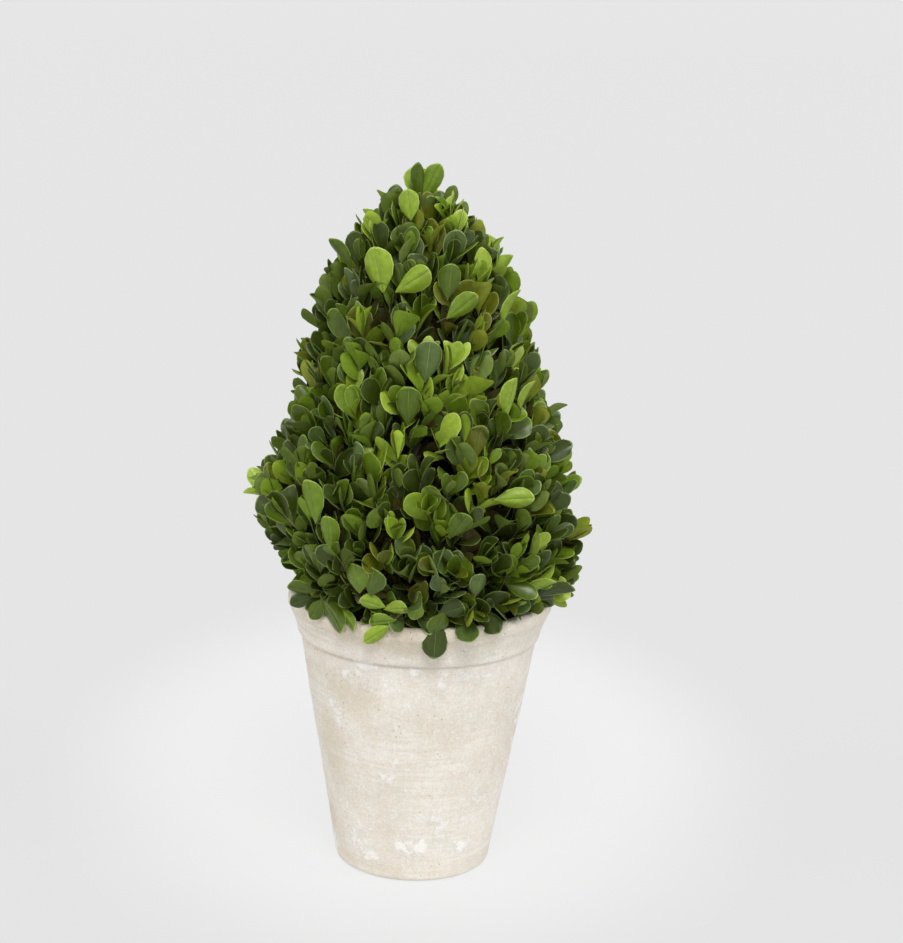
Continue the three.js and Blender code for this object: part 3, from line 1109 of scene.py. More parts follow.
def heading_at(point, leaf, rng):
    """The way a spray points: out at the rim, more and more upward towards the tip."""
    outward = point - stem_at(point.z)
    outward.z = 0
    outward.normalize()
    place = point / BUNCH
    drift = noise.noise(place) * leaf.drift
    sideways = noise.noise(place + UP * 7) * leaf.drift * SIDEWAYS
    rise = rise_at(point.z) + drift + rng.gauss(0, leaf.disorder)
    outward.rotate(Quaternion(UP, sideways + rng.gauss(0, leaf.disorder)))
    return outward * math.cos(rise) + UP * math.sin(rise)


def hollow_at(point):
    """How far the clipped face is drawn in at a point."""
    arm = point - stem_at(point.z)
    turn = math.degrees(math.atan2(arm.y, arm.x))
    depth = 0
    for hollow in HOLLOWS:
        off = (turn - hollow.turn + 180) % 360 - 180
        across = (off / hollow.width) ** 2 + ((point.z - hollow.height) / hollow.tall) ** 2
        depth += hollow.depth * math.exp(-across)
    return depth


def crown_tree():
    """A ray-casting tree of all the masses and the pot."""
    points, faces = [], []
    for node in [*MASSES, "pot"]:
        first = len(points)
        solid_points, solid_faces = triangles(node)
        points += solid_points
        faces += [tuple(first + i for i in face) for face in solid_faces]
    return BVHTree.FromPolygons(points, faces)


def rim_seats(leaf, rng):
    """Seats of the sprays that spread over the pot's rim, all the way round."""
    pot = settings("pot")
    count = int(FULL_TURN * pot.rim_radius / (leaf.spacing * RIM_SPACING))
    for i in range(count):
        turn = FULL_TURN * (i + rng.uniform(-RIM_STRAY, RIM_STRAY)) / count
        outward = Vector((math.cos(turn), math.sin(turn), 0))
        height = pot.height + rng.uniform(*RIM_HEIGHTS) * MM
        reach = pot.rim_radius - rng.uniform(*RIM_INSETS) * MM
        reach -= hollow_at(outward * reach + UP * height)
        rise = math.radians(rng.uniform(*RIM_RISE))
        heading = outward * math.cos(rise) + UP * math.sin(rise)
        yield outward * reach + UP * height, heading


def tint_at(point, rng):
    """A tint for a spray, more often a deep one on the left side, as painted shade."""
    turn = math.atan2(point.y, point.x) - math.radians(PAINTED_SHADE_TURN)
    # How far the spray is on the left side, where deeper tints paint the shade.
    shade = max(0.0, math.cos(turn))
    shares = [mix(sunny, painted_shade_share, shade) for sunny, painted_shade_share in zip(TINT_SHARES, PAINTED_SHADE_SHARES)]
    return rng.choices(range(len(shares)), shares)[0]


def nearest_mass(point):
    """The mass whose middle is nearest to a point."""
    return min(MASSES, key=lambda node: (sum(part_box(node), Vector()) / 2 - point).length)


def find_seats(leaf):
    """Seats for the sprays of every mass, no two closer than the spacing."""
    tree = crown_tree()
    rng = random.Random(f"rim {leaf.seed}")
    seats = {node: [] for node in MASSES}
    taken = []
    for bud, heading in rim_seats(leaf, rng):
        taken.append(bud)
        seats[nearest_mass(bud)].append(Seat(bud, heading, SHORT, tint_at(bud, rng)))
    top = stem_line()[-1]
    leader = Vector((top.x, top.y, CAD_BOX[1][2] - LEADER_DEPTH))
    taken.append(leader + UP * LEADER_DEPTH)
    seats["foliage_tip"].append(Seat(leader, UP, SHORT, FRESH))
    for node in MASSES:
        rng = random.Random(f"seats {leaf.seed} {node}")
        outer, inner = face_seats(open_faces(node, tree), leaf, leader.z - LEADER_ROOM, taken, rng)
        seats[node] += outer + inner
    return seats


def face_seats(faces, leaf, highest, taken, rng):
    """Seats just under the clipped face of a mass, and plain ones deeper in the crown."""
    outer, inner = [], []
    tries = int(TRIES * sum(area for area, _, _ in faces) / leaf.spacing**2)
    for point, normal in scattered(faces, tries, rng):
        room = leaf.spacing * (1 + SPACING_DRIFT * noise.noise(point / CROWDING))
        if any((point - other).length < room for other in taken):
            continue
        taken.append(point)
        drift = noise.noise(point / RAGGED + UP * 3)
        depth = leaf.inset * (1 + DEPTH_DRIFT * drift + rng.gauss(0, DEPTH_STRAY))
        depth += hollow_at(point) + CREST_INSET * smooth_step(point.z, CREST_LOW, CREST_HIGH)
        heading = heading_at(point, leaf, rng)
        bud = point - normal * depth
        tint = tint_at(bud, rng)
        if bud.z < highest:
            outer.append(Seat(bud, heading, rng.choice((SHORT, LONG, LONG)), tint))
        deep = point - normal * (depth + leaf.inset * PLAIN_DEPTH)
        inside = (deep - stem_at(deep.z)).dot(normal) > leaf.inset
        if inside and deep.z > POT_HIGH.z + leaf.inset:
            inner.append(Seat(deep, heading, SHORT, SHADED, PLAIN_FORMS))
    return outer, inner


def limb_between(start, heading, end, arrival, steer, steps):
    """Line of a limb that sets off along one heading and comes in along another."""
    run = (end - start).length
    near = start + heading * run * steer[0]
    far = end - arrival * run * steer[1]
    return geometry.interpolate_bezier(start, near, far, end, steps + 1)


def tapered(line, radius, shares):
    """A limb along a line, its radius running between two shares of the one given."""
    steps = len(line) - 1
    return Limb(line, [radius * mix(*shares, i / steps) for i in range(steps + 1)])


def split_in_two(seats, leafy, rng):
    """Parts seats into two groups along the line on which they are most spread."""
    roots = [seat.bud - seat.heading * leafy for seat in seats]
    middle = average(roots)
    spread = max((root - middle for root in roots), key=lambda arm: arm.length)
    order = sorted(range(len(seats)), key=lambda i: (roots[i] - middle).dot(spread))
    cut = max(1, min(len(seats) - 1, round(len(seats) * rng.uniform(*PARTING))))
    return [seats[i] for i in order[:cut]], [seats[i] for i in order[cut:]]


def branch(start, heading, seats, shape, rng, limbs, sprays):
    """Grows limbs from a fork, parting in two again and again, until each carries one spray.
    The shape is the leafy length of a spray and the radius of its twig."""
    leafy, thin = shape
    if len(seats) == 1:
        seat = seats[0]
        line = limb_between(start, heading, seat.bud, seat.heading, SPRAY_STEER, SPRAY_STEPS)
        limbs.append(tapered(line, thin, SPRAY_TAPER))
        sprays.append((line, seat))
        return
    middle = average([seat.bud - seat.heading * leafy for seat in seats])
    stray = Vector([rng.gauss(0, 1) for _ in range(3)])
    wander = stray * (middle - start).length * WANDER
    fork = start.lerp(middle, rng.uniform(*FORK_SHARES)) + wander
    onward = (fork - start).normalized()
    line = limb_between(start, heading, fork, onward, LIMB_STEER, LIMB_STEPS)
    limbs.append(tapered(line, thin * len(seats) ** THICKENING, LIMB_TAPER))
    for group in split_in_two(seats, leafy, rng):
        branch(fork, onward, group, shape, rng, limbs, sprays)


def along(line, distance):
    """Point and direction at a distance back from a line's end."""
    for b, a in zip(line[::-1], line[-2::-1]):
        step = (b - a).length
        if distance <= step:
            return b.lerp(a, distance / step), (b - a).normalized()
        distance -= step
    return line[0], (line[1] - line[0]).normalized()


def leaf_turn(direction, face):
    """Turn that lays a leaf's length along a direction with its upper side to face."""
    side = direction.cross(face).normalized()
    return Matrix((side, direction, side.cross(direction))).transposed().to_quaternion()


def inside_pot(pot, point, clearance):
    """Whether a point is in the pot or in its mouth."""
    if point.z > pot.height + clearance:
        return False
    radius = Vector(point[:2]).length
    wall = pot.rim_radius if point.z > pot.neck_height else pot_radius(pot, point.z)
    return radius < wall + clearance


def clear_of_pot(pot, place, direction, reach):
    """The direction, raised as little as keeps a leaf out of the pot, or None."""
    outward = Vector((place.x, place.y, 0)).normalized()
    axis = outward.cross(UP)
    for _ in range(MOST_RAISES):
        tried = (place + direction * reach * part for part in TRIED_PLACES)
        if not any(inside_pot(pot, point, POT_CLEARANCE) for point in tried):
            return direction
        direction = direction.copy()
        direction.rotate(Quaternion(axis, RAISE_STEP))
    return None


def leaves_of(line, seat, leaf, pot, rng):
    """The opposite pairs of leaves on one spray, each pair square to the one below it."""
    turn = rng.uniform(0, FULL_TURN)
    distance = rng.uniform(0, BUD_GAP) * MM
    level = Vector((line[-1].x, line[-1].y, 0)).normalized()
    outward = (level + UP * OUT_RISE).normalized()
    lift = UP * leaf.lift * smooth_step(line[-1].z, *LIFT_HEIGHTS)
    for gap, lean, size in PAIRS[: seat.pairs]:
        place, forward = along(line, distance)
        distance += gap * leaf.leafy
        across = forward.orthogonal().normalized()
        for side in (0, math.pi):
            radial = across.copy()
            radial.rotate(Quaternion(forward, turn + side + rng.gauss(0, STRAY)))
            radial -= level * radial.dot(level) * leaf.flatness
            tilt = math.radians(lean + rng.gauss(0, LEAN_STRAY))
            direction = (forward * math.cos(tilt) + radial * math.sin(tilt) + lift).normalized()
            face = forward * math.sin(tilt) - radial * math.cos(tilt)
            scale = size * rng.uniform(*SIZES)
            face += outward * rng.uniform(*FACING)
            raised = clear_of_pot(pot, place, direction, leaf.leaf_length * scale)
            roll = rng.gauss(0, ROLL_STRAY)
            form = rng.choice(seat.forms)
            tint = min(LIME, max(DEEP, seat.tint + rng.choice(TINT_STEPS)))
            tint = SHADED if seat.tint == SHADED else tint
            missing = rng.random() < leaf.missing
            if missing or raised is None or inside_pot(pot, place, 0):
                continue
            twist = Quaternion(raised, roll) @ leaf_turn(raised, face)
            yield Leaf(place, twist, scale, form, tint)
        turn += QUARTER_TURN + rng.gauss(0, PAIR_STRAY)


def front_of(tree, across, height):
    """The crown's clipped face at a place seen from the front, and the way that it looks."""
    start = Vector((across * MM, -1, height * MM))
    point, normal, *_ = tree.ray_cast(start, Vector((0, 1, 0)))
    if point is None:
        point, normal, *_ = tree.find_nearest(Vector((start.x, 0, start.z)))
    outward = point - stem_at(point.z)
    outward.z = 0
    return point, (normal + outward.normalized()).normalized()


def laid(leaf_length, pot, tree, given):
    """A listed leaf laid on the front, and the short stalk that carries it."""
    point, normal = front_of(tree, given.across, given.height)
    lean = math.radians(given.lean)
    flat = Vector((math.sin(lean), 0, math.cos(lean)))
    least, most = LAID_OUT
    out = max(least, min(most, flat.dot(normal)))
    flat = (flat - normal * flat.dot(normal)).normalized()
    direction = flat * math.sqrt(1 - out * out) + normal * out
    place = point - normal * given.depth * MM
    direction = clear_of_pot(pot, place, direction, given.length * MM) or direction
    ratio = given.width / given.length
    form = min(range(len(LAID_WIDTHS)), key=lambda i: abs(LAID_WIDTHS[i] - ratio))
    twist = Quaternion(direction, math.radians(given.roll)) @ leaf_turn(direction, normal)
    size = given.length * MM / leaf_length
    root = place - normal * STALK_DEEP * MM - direction * STALK_BACK * MM
    stalk = [root, place - normal * STALK_NEAR * MM, place]
    return Leaf(place, twist, size, LAID_FORMS[form], given.tint), stalk


def blade_point(leaf, part, leaf_length):
    """The point of a leaf's blade at a share of its length."""
    return leaf.place + leaf.turn @ Vector((0, leaf.size * leaf_length * part, 0))


def hides(leaf, middle, normal, room, leaf_length):
    """Whether the middle or the tip of a grown leaf would lie over a place that is to be seen."""
    for part, reach in ((BLADE_MIDDLE, room), (1.0, room * CLEAR_OF_TIPS)):
        off = blade_point(leaf, part, leaf_length) - middle
        out = off.dot(normal)
        if out > -BEHIND and (off - normal * out).length < reach:
            return True
    return False


@lru_cache(maxsize=1)
def grown_crown():
    """Limbs and leaves of each mass, grown on from its bough by a seeded rule of branching."""
    leaf, wood, pot = settings("leaf"), settings("wood"), settings("pot")
    seats = find_seats(leaf)
    shape = (leaf.leafy, wood.twig_radius)
    crown = {}
    for node in MASSES:
        rng = random.Random(f"growth {leaf.seed} {node}")
        limbs, sprays, leaves = [], [], []
        start, heading = growing_point(node)
        branch(start - heading * MM, heading, seats[node], shape, rng, limbs, sprays)
        for line, seat in sprays:
            leaves += leaves_of(line, seat, leaf, pot, rng)
        crown[node] = (limbs, leaves)
    dress_front(crown, leaf, pot)
    return crown


def growing_point(node):
    """Where the twigs of a mass start, at its bough or on the stem, and the way they set off."""
    bough = node.replace("foliage_", "bough_")
    if bough in NODES:
        return bough_line(bough)
    return stem_at(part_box(node)[0].z + STEM_START), UP


def dress_front(crown, leaf, pot):
    """Lays the listed leaves of the front, and takes off the grown ones in their way."""
    tree = crown_tree()
    kept_open = []
    shown = []
    for given in LAID_LEAVES:
        new, stalk = laid(leaf.leaf_length, pot, tree, given)
        normal = front_of(tree, given.across, given.height)[1]
        middle = blade_point(new, BLADE_MIDDLE, leaf.leaf_length)
        kept_open.append((middle, normal, given.length * MM * CLEAR_SHARE + CLEAR_MORE))
        shown.append((new, stalk))
    for across, height, radius in CLEARINGS:
        kept_open.append((*front_of(tree, across, height), radius * MM))
    for limbs, leaves in crown.values():
        leaves[:] = [
            grown
            for grown in leaves
            if not any(hides(grown, *place, leaf.leaf_length) for place in kept_open)
        ]
    for new, stalk in shown:
        limbs, leaves = crown[nearest_mass(new.place)]
        limbs.append(Limb(stalk, LAID_STALK))
        leaves.append(new)


# ---------------------------------------------------------------- twigs


def wire_mesh(name, limbs):
    """Limbs as loose lines of points, each with its thickness."""
    points, edges, radii = [], [], []
    for limb in limbs:
        first = len(points)
        points += limb.points
        radii += limb.radii
        edges += [(first + i, first + i + 1) for i in range(len(limb.points) - 1)]
    mesh = bpy.data.meshes.new(name)
    mesh.from_pydata(points, edges, [])
    thickness = mesh.attributes.new("thickness", "FLOAT", "POINT")
    thickness.data.foreach_set("value", radii)
    return mesh


def twig_group(finish):
    """Node group that gives loose lines a round section of their own thickness."""
    sockets = {"Thickness": "NodeSocketFloat", "Sides": "NodeSocketInt"}
    tree, given = new_group("Twigs", sockets)
    curve = add_node(tree, "GeometryNodeMeshToCurve", {"Mesh": given["Geometry"]})
    sides = {"Resolution": given["Sides"], "Radius": 1.0}
    ring = add_node(tree, "GeometryNodeCurvePrimitiveCircle", sides)
    tubes = add_node(
        tree,
        "GeometryNodeCurveToMesh",
        {
            "Curve": curve.outputs["Curve"],
            "Profile Curve": ring.outputs["Curve"],
            "Scale": product(tree, named(tree, "thickness", "FLOAT"), given["Thickness"]),
            "Fill Caps": True,
        },
    )
    real = add_node(tree, "GeometryNodeRealizeInstances", {"Geometry": tubes.outputs["Mesh"]})
    covered = add_node(
        tree, "GeometryNodeSetMaterial", {"Geometry": real.outputs["Geometry"], "Material": finish}
    )
    end_group(tree, covered.outputs["Geometry"])
    return tree


def twig_finish(wood):
    """Olive young wood, browner in places."""
    bark = Finish("young_twig", Roughness=0.7, Specular_IOR_Level=0.3)
    streaks = bark.clouds(0.006, detail=3)
    base = bark.blend(bark.band(streaks, 0.4, 0.65), rgba(wood.twig), rgba(wood.bark))
    return bark.finish(base, None, bark.clouds(0.001), depth=0.1 * MM)


def tier_masses(tier):
    """The masses of one tier, whose name is the second word of theirs."""
    return [node for node in MASSES if node.split("_")[1] == tier]


# Sides of the section of a twig.
TWIG_SIDES = 5


class TOPIARY_OT_twigs(bpy.types.Operator):
    """Grow the limbs and twigs of every tier on from its boughs"""

    bl_idname = "topiary.twigs"
    bl_label = "Twigs"

    def execute(self, context):
        # Grown anew with the settings as they are, and kept for the leaves.
        grown_crown.cache_clear()
        tree = twig_group(twig_finish(settings("wood")))
        values = {"Thickness": 1.0, "Sides": TWIG_SIDES}
        for tier in TIERS:
            limbs = [limb for node in tier_masses(tier) for limb in grown_crown()[node][0]]
            base = wire_mesh(f"twigs_{tier}", limbs)
            mesh = grown_mesh(f"twigs_{tier}", base, tree, values)
            add_to_object(new_object(f"twigs_{tier}", mesh), "bark")
        return {"FINISHED"}


# ---------------------------------------------------------------- leaves

# Rows of points across a leaf one unit long, from its stalk to its tip: place along the leaf,
# half-width of a spoon-shaped and of an oval leaf as shares of the widest, and how far the
# middle runs ahead of the edges.
LEAF_ROWS = (
    (0.00, 0.05, 0.07, 0.00),
    (0.13, 0.17, 0.40, 0.00),
    (0.32, 0.52, 0.82, 0.01),
    (0.54, 0.88, 1.00, 0.02),
    (0.74, 1.00, 0.93, 0.05),
    (0.835, 0.86, 0.76, 0.125),
    (0.885, 0.72, 0.62, 0.115),
)
LAST_ROW = len(LEAF_ROWS) - 1
# Columns of points, from edge to edge. The outermost strips of a fine leaf are its pale margin,
# and the listed leaves laid on the front have a pale midrib too.
HALFWAY, MARGIN_EDGE, LAID_MARGIN_EDGE, MIDRIB = 0.46, 0.92, 0.94, 0.018
PLAIN_COLUMNS = (-1, -HALFWAY, 0, HALFWAY, 1)
FINE_COLUMNS = (-1, -MARGIN_EDGE, -HALFWAY, 0, HALFWAY, MARGIN_EDGE, 1)
LAID_COLUMNS = (-1, -LAID_MARGIN_EDGE, -HALFWAY, -MIDRIB, 0, MIDRIB, HALFWAY, LAID_MARGIN_EDGE, 1)
PLAIN_ROWS = (0, 2, 4, LAST_ROW)
# Thickness of a leaf above and below its middle sheet, and depth of the crease along its
# midrib, as shares of its length.
ABOVE, BELOW, CREASE = 0.007, 0.009, 0.014
# A point this near to the middle of a leaf is on its midrib.
ON_MIDRIB = 0.002
UPPER, UNDER, MARGIN = range(3)


class Form(NamedTuple):
    """Shape of one leaf form, as shares of its length. Oval is nought for a spoon-shaped leaf
    and one for an oval leaf, and twist is in radians from end to end."""

    width: float
    oval: float
    cup: float
    arch: float
    notch: float
    twist: float


def leaf_forms(rng):
    """Rounded, oval and narrow leaves, cupped or arched, some notched at the tip."""
    count = len(FINE_FORMS) + len(PLAIN_FORMS)
    for i in range(count):
        curled = i % 4 == 0
        yield Form(
            width=mix(0.66, 0.42, i % len(FINE_FORMS) / (len(FINE_FORMS) - 1)),
            oval=rng.uniform(0.2, 1.0),
            cup=0.16 if curled else rng.uniform(-0.2, 0.04),
            arch=0.24 if curled else rng.uniform(-0.1, 0.22),
            notch=rng.choice((0.0, 0.0, 0.014)),
            twist=rng.uniform(-0.3, 0.3),
        )
    for i, width in enumerate(LAID_WIDTHS):
        arch, twist = 0.2 - 0.1 * i, 0.3 - 0.2 * i
        yield Form(width, oval=0.9, cup=-0.14, arch=arch, notch=0.0, twist=twist)


def leaf_point(form, row, column, side):
    """A point of a leaf that lies along Y with its upper face towards Z."""
    along_leaf, spoon, oval, ahead = LEAF_ROWS[row]
    half = mix(spoon, oval, form.oval)
    middle = 1 - column * column
    y = along_leaf + ahead * middle
    if row >= LAST_ROW - 1:
        y -= form.notch * max(0, 1 - abs(column) / HALFWAY)
    x = column * half * form.width / 2
    z = form.cup * half * abs(column) ** 1.7 - form.arch * y * y
    if 0 < row < LAST_ROW and abs(column) < 1:
        crease = CREASE if column == 0 else 0
        z += ABOVE - crease if side == UPPER else -BELOW - crease
    cosine, sine = math.cos(form.twist * y), math.sin(form.twist * y)
    return Vector((x * cosine - z * sine, y, x * sine + z * cosine))


def leaf_mesh(name, form, rows, columns):
    """A closed thin leaf of a few dozen faces, creased along its midrib."""
    shape = bmesh.new()
    mark = shape.faces.layers.int.new("side")
    top = {
        (row, column): shape.verts.new(leaf_point(form, row, column, UPPER))
        for row in rows
        for column in columns
    }
    below = {}
    for row in rows:
        for column in PLAIN_COLUMNS:
            shared = row in (0, LAST_ROW) or abs(column) == 1
            point = leaf_point(form, row, column, UNDER)
            below[row, column] = top[row, column] if shared else shape.verts.new(point)
    for low, high in zip(rows, rows[1:]):
        for left, right in zip(columns, columns[1:]):
            ring = [top[low, left], top[low, right], top[high, right], top[high, left]]
            pale = columns is not PLAIN_COLUMNS and is_pale(low, left, right)
            shape.faces.new(ring)[mark] = MARGIN if pale else UPPER
        for left, right in zip(PLAIN_COLUMNS, PLAIN_COLUMNS[1:]):
            between = [column for column in columns if left < column < right]
            ring = [below[low, left], below[high, left], below[high, right], below[low, right]]
            if high == LAST_ROW:
                ring[2:2] = [top[high, column] for column in between]
            if low == 0:
                ring += [top[low, column] for column in reversed(between)]
            shape.faces.new(ring)[mark] = UNDER
    sharpen_rim(shape, mark)
    mesh = bpy.data.meshes.new(name)
    shape.to_mesh(mesh)
    shape.free()
    return mesh


def is_pale(row, left, right):
    """Whether the face between two columns is on a leaf's margin or on its midrib."""
    at_edge = row == LAST_ROW - 1 or 1 in (-left, right)
    return at_edge and row > 1 or right - left < 2 * MIDRIB


def sharpen_rim(shape, mark):
    """Smooths a leaf, but for a sharp edge all round where its two sides meet."""
    for face in shape.faces:
        face.smooth = True
    for edge in shape.edges:
        sides = {face[mark] == UNDER for face in edge.link_faces}
        on_midrib = all(abs(vertex.co.x) < ON_MIDRIB for vertex in edge.verts)
        edge.smooth = len(sides) == 1 and not on_midrib


def leaf_forms_collection(seed):
    """An unlinked collection of leaf forms for the node group to pick from."""
    forms = bpy.data.collections.new("leaf_forms")
    rng = random.Random(f"forms {seed}")
    for i, form in enumerate(leaf_forms(rng)):
        plain = i in PLAIN_FORMS
        rows = PLAIN_ROWS if plain else range(LAST_ROW + 1)
        columns = LAID_COLUMNS if i in LAID_FORMS else FINE_COLUMNS
        mesh = leaf_mesh(f"leaf_form_{i:02}", form, rows, PLAIN_COLUMNS if plain else columns)
        forms.objects.link(bpy.data.objects.new(mesh.name, mesh))
    return forms


class Tint(NamedTuple):
    """Colours of one kind of leaf: its upper face, its underside and its margin."""

    name: str
    upper: tuple
    under: tuple
    margin: tuple


# Red, green and blue on the screen's own scale of 0 to 255.
TINTS = (
    Tint("deep", (53, 67, 13), (98, 118, 40), (106, 124, 58)),
    Tint("green", (73, 92, 13), (114, 140, 34), (120, 144, 56)),
    Tint("dusky", (78, 97, 44), (112, 130, 60), (134, 152, 90)),
    Tint("olive", (92, 98, 19), (130, 140, 40), (140, 148, 60)),
    Tint("fresh", (99, 124, 24), (134, 158, 42), (146, 166, 68)),
    Tint("light", (127, 152, 39), (153, 178, 58), (163, 184, 82)),
    Tint("lime", (150, 173, 56), (169, 190, 82), (181, 198, 102)),
    Tint("shaded", (76, 72, 34), (78, 74, 36), (78, 74, 36)),
)


def mottled(finish, rgb, size, detail, dark, bright):
    """A leaf's colour in soft blotches, between a darker and a brighter share of it."""
    shade = [linear(value) for value in rgb]
    blotches = finish.band(finish.clouds(size, detail=detail), 0.3, 0.7)
    low, high = ([part * value for value in shade] for part in (dark, bright))
    return finish.blend(blotches, rgba(low), rgba(high))


def leaf_finishes(tint):
    """Glossy upper face, matt underside and pale margin of one tint."""
    upper = Finish(f"leaf_{tint.name}_upper", Specular_IOR_Level=0.36)
    base = mottled(upper, tint.upper, 0.004, 3, 0.86, 1.12)
    rough = upper.band(upper.clouds(0.01, detail=2), 0.3, 0.7, 0.28, 0.5)
    pores = upper.clouds(0.0016, detail=2)
    glossy = upper.finish(base, rough, pores, depth=0.12 * MM, strength=0.25)
    under = Finish(f"leaf_{tint.name}_under", Roughness=0.62, Specular_IOR_Level=0.25)
    base = mottled(under, tint.under, 0.005, 3, 0.88, 1.1)
    matt = under.finish(base, None, under.clouds(0.002, detail=2), depth=0.1 * MM, strength=0.4)
    margin = Finish(f"leaf_{tint.name}_margin", Roughness=0.5, Specular_IOR_Level=0.4)
    pale = margin.finish(mottled(margin, tint.margin, 0.003, 4, 0.9, 1.0))
    return {UPPER: glossy, UNDER: matt, MARGIN: pale}


def leaf_group():
    """Node group that sets a leaf of the right form, size and tint at each point."""
    sockets = {"Leaf Forms": "NodeSocketCollection", "Leaf Length": "NodeSocketFloat"}
    tree, given = new_group("Leaf sprays", sockets)
    forms = add_node(
        tree,
        "GeometryNodeCollectionInfo",
        {"Collection": given["Leaf Forms"], "Separate Children": True, "Reset Children": True},
    )
    placed = add_node(
        tree,
        "GeometryNodeInstanceOnPoints",
        {
            "Points": given["Geometry"],
            "Instance": forms.outputs["Instances"],
            "Pick Instance": True,
            "Instance Index": named(tree, "form", "INT"),
            "Rotation": named(tree, "turn", "QUATERNION"),
            "Scale": product(tree, named(tree, "size", "FLOAT"), given["Leaf Length"]),
        },
    )
    real = add_node(tree, "GeometryNodeRealizeInstances", {"Geometry": placed.outputs["Instances"]})
    covered = real.outputs["Geometry"]
    for index, tint in enumerate(TINTS):
        for side, finish in leaf_finishes(tint).items():
            chosen = both(tree, equals(tree, "tint", index), equals(tree, "side", side))
            inputs = {"Geometry": covered, "Selection": chosen, "Material": finish}
            covered = add_node(tree, "GeometryNodeSetMaterial", inputs).outputs["Geometry"]
    end_group(tree, covered)
    return tree


def equals(tree, attribute, value):
    """True where a whole-number attribute has a value."""
    inputs = {2: named(tree, attribute, "INT"), 3: value}
    compared = add_node(tree, "FunctionNodeCompare", inputs, data_type="INT", operation="EQUAL")
    return compared.outputs[0]


def both(tree, a, b):
    return add_node(tree, "FunctionNodeBooleanMath", {0: a, 1: b}, operation="AND").outputs[0]


def leaf_points(name, leaves):
    """One point for each leaf, with its turn, size, form and tint."""
    mesh = bpy.data.meshes.new(name)
    mesh.from_pydata([leaf.place for leaf in leaves], [], [])
    columns = {
        "turn": ("QUATERNION", [part for leaf in leaves for part in leaf.turn]),
        "size": ("FLOAT", [leaf.size for leaf in leaves]),
        "form": ("INT", [leaf.form for leaf in leaves]),
        "tint": ("INT", [leaf.tint for leaf in leaves]),
    }
    for attribute, (kind, values) in columns.items():
        mesh.attributes.new(attribute, kind, "POINT").data.foreach_set("value", values)
    return mesh


class TOPIARY_OT_leaves(bpy.types.Operator):
    """Set the leaves on the sprays of every tier"""

    bl_idname = "topiary.leaves"
    bl_label = "Leaves"

    def execute(self, context):
        leaf = settings("leaf")
        tree = leaf_group()
        forms = leaf_forms_collection(leaf.seed)
        values = {"Leaf Forms": forms, "Leaf Length": leaf.leaf_length}
        for tier in TIERS:
            nodes = tier_masses(tier)
            leaves = [one for node in nodes for one in grown_crown()[node][1]]
            base = leaf_points(f"leaves_{tier}", leaves)
            mesh = grown_mesh(f"leaves_{tier}", base, tree, values)
            piece = new_object(f"leaves_{tier}", mesh, smooth=False)
            add_to_object(piece, "foliage", *nodes)
        for form in list(forms.objects):
            bpy.data.objects.remove(form)
        bpy.data.collections.remove(forms)
        return {"FINISHED"}


# ---------------------------------------------------------------- stage


# Width of the camera's sensor in millimetres, and how far it sees in metres.
SENSOR_WIDTH, CLIP_END = 36, 100
# Towards the soft lights, by the name of the setting that holds their strength.
LAMPS = {
    "key": Vector((0.05, -0.8, 1.05)).normalized(),
    "left_fill": Vector((-1.0, -0.35, 0.45)).normalized(),
    "right_fill": Vector((1.0, -0.35, 0.45)).normalized(),
}
# Share of the backdrop's radius in which the floor curves up, how far below level the curve
# ends, its steps and the segments round it, and how far the floor lies under the object.
SWEEP, SWEEP_END, SWEEP_STEPS, COVE_SEGMENTS = 0.6, -math.radians(10), 20, 64
FLOOR_DROP = 0.3 * MM


def floor_finish(stage):
    """A plain pale floor that glows a little, so that shadows on it stay faint, with a painted pool
    of light round the object.
    """
    floor = Finish("studio_floor", Roughness=0.9, Specular_IOR_Level=0.0)
    # The painted pool of light: an oval, centred behind the object, inside which the floor is
    # brighter.
    centre = (0, stage.painted_pool_back / stage.painted_pool_deep, 0)
    squash = (1 / stage.painted_pool_wide, 1 / stage.painted_pool_deep, 1)
    scaled = floor.vector("MULTIPLY", {0: floor.place, 1: squash})
    offset = floor.vector("SUBTRACT", {0: scaled, 1: centre})
    distance = floor.add("ShaderNodeVectorMath", {0: offset}, operation="LENGTH")
    near = floor.band(distance.outputs["Value"], 0.5, 1.0, 1.0, 0.0)
    shade = floor.blend(near, rgba(stage.floor), rgba(stage.pool))
    light = stage.sky + sum(getattr(stage, lamp) * way.z for lamp, way in LAMPS.items()) / math.pi
    lit = floor.blend(1.0, shade, rgba([stage.shadow / light] * 3), "MULTIPLY")
    floor.tree.links.new(shade, floor.shader.inputs["Emission Color"])
    floor.shader.inputs["Emission Strength"].default_value = 1 - stage.shadow
    return floor.finish(lit)


def cove_mesh(radius):
    """A round floor that curves up into a backdrop all the way round."""
    sweep = radius * SWEEP
    centre = Vector((radius - sweep, sweep))
    rings = arc(centre, sweep, -QUARTER_TURN, SWEEP_END, SWEEP_STEPS)
    segments = range(COVE_SEGMENTS)
    ways = [FULL_TURN * i / COVE_SEGMENTS for i in segments]
    points = [Vector((0, 0, -FLOOR_DROP))]
    for reach, height in rings:
        z = height - FLOOR_DROP
        points += [Vector((reach * math.cos(way), reach * math.sin(way), z)) for way in ways]
    faces = [(0, 1 + i, 1 + (i + 1) % COVE_SEGMENTS) for i in segments]
    for ring in range(len(rings) - 1):
        low, high = 1 + ring * COVE_SEGMENTS, 1 + (ring + 1) * COVE_SEGMENTS
        for i in segments:
            j = (i + 1) % COVE_SEGMENTS
            faces.append((low + i, high + i, high + j, low + j))
    return mesh_from("studio_floor", points, faces)


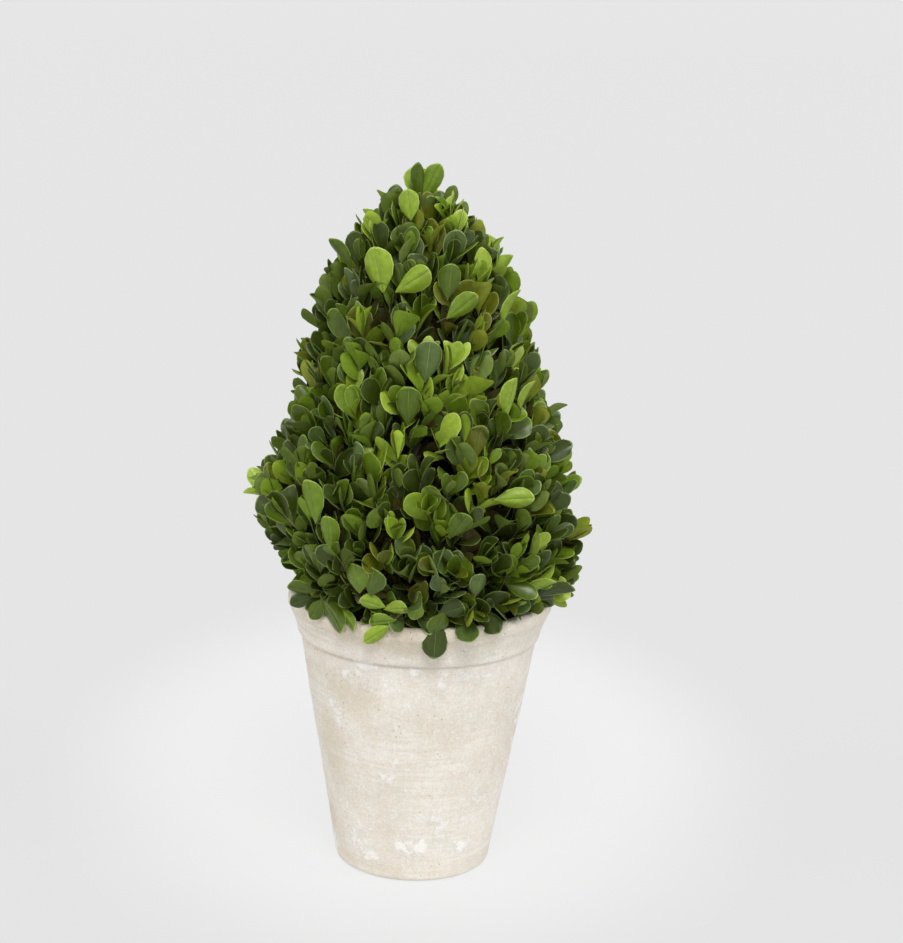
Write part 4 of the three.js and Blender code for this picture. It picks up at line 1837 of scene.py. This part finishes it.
class TOPIARY_OT_stage(bpy.types.Operator):
    """Set up the floor, the even light, three soft lamps and the camera"""

    bl_idname = "topiary.stage"
    bl_label = "Stage"

    def execute(self, context):
        stage = settings("stage")
        floor = new_object("studio_floor", cove_mesh(stage.backdrop))
        floor.data.materials.append(floor_finish(stage))
        self.light(stage, context.scene)
        self.place_camera(stage, context.scene)
        context.scene.view_settings.view_transform = "Standard"
        return {"FINISHED"}

    def light(self, stage, scene):
        """Even light from all round, and the soft lamps."""
        world = bpy.data.worlds.new("studio_light")
        world.use_nodes = True
        sky = world.node_tree.nodes["Background"]
        sky.inputs["Color"].default_value = (1, 1, 1, 1)
        sky.inputs["Strength"].default_value = stage.sky
        scene.world = world
        for name, way in LAMPS.items():
            light = bpy.data.lights.new(name, "SUN")
            light.energy = getattr(stage, name)
            light.angle = stage.lamp_size
            lamp = bpy.data.objects.new(name, light)
            lamp.rotation_euler = way.to_track_quat("Z", "Y").to_euler()
            scene.collection.objects.link(lamp)

    def place_camera(self, stage, scene):
        """A camera in front of the object that looks down on it and leans slightly."""
        pitch, yaw, roll = stage.camera_pitch, stage.camera_yaw, stage.camera_roll
        level = math.cos(pitch)
        forward = Vector((math.sin(yaw) * level, math.cos(yaw) * level, -math.sin(pitch)))
        right = forward.cross(UP).normalized()
        top = right.cross(forward)
        lean = Matrix.Rotation(-roll, 3, forward)
        axes = Matrix((lean @ right, lean @ top, -forward)).transposed()
        lens = bpy.data.cameras.new("camera")
        lens.lens = stage.lens
        lens.sensor_width = SENSOR_WIDTH
        lens.clip_end = CLIP_END
        camera = bpy.data.objects.new("camera", lens)
        camera.location = (0, -stage.camera_back, stage.camera_up)
        camera.rotation_euler = axes.to_euler()
        scene.collection.objects.link(camera)
        scene.camera = camera


# ---------------------------------------------------------------- sidebar and run


OPERATORS = (
    TOPIARY_OT_stage,
    TOPIARY_OT_pot,
    TOPIARY_OT_soil,
    TOPIARY_OT_wood,
    TOPIARY_OT_twigs,
    TOPIARY_OT_leaves,
)
GROUPS = {
    "pot": PotSettings,
    "wood": WoodSettings,
    "leaf": LeafSettings,
    "stage": StageSettings,
}


class TOPIARY_PT_sidebar(bpy.types.Panel):
    """Settings of the topiary, and the operators that build it"""

    bl_idname = "TOPIARY_PT_sidebar"
    bl_label = "Boxwood cone"
    bl_space_type = "VIEW_3D"
    bl_region_type = "UI"
    bl_category = "Topiary"

    def draw(self, context):
        for name, group in GROUPS.items():
            box = self.layout.box()
            box.label(text=name.capitalize())
            for setting in group.__annotations__:
                box.prop(settings(name), setting)
        for operator in OPERATORS:
            self.layout.operator(operator.bl_idname)


def register():
    for name, group in GROUPS.items():
        bpy.utils.register_class(group)
        setattr(bpy.types.Scene, f"topiary_{name}", bpy.props.PointerProperty(type=group))
    for operator in (*OPERATORS, TOPIARY_PT_sidebar):
        bpy.utils.register_class(operator)


def unregister():
    for operator in (TOPIARY_PT_sidebar, *OPERATORS[::-1]):
        bpy.utils.unregister_class(operator)
    for name, group in GROUPS.items():
        delattr(bpy.types.Scene, f"topiary_{name}")
        bpy.utils.unregister_class(group)


def main():
    register()
    bpy.ops.topiary.stage()
    bpy.ops.topiary.pot()
    bpy.ops.topiary.soil()
    bpy.ops.topiary.wood()
    bpy.ops.topiary.twigs()
    bpy.ops.topiary.leaves()


if __name__ == "__main__":
    main()
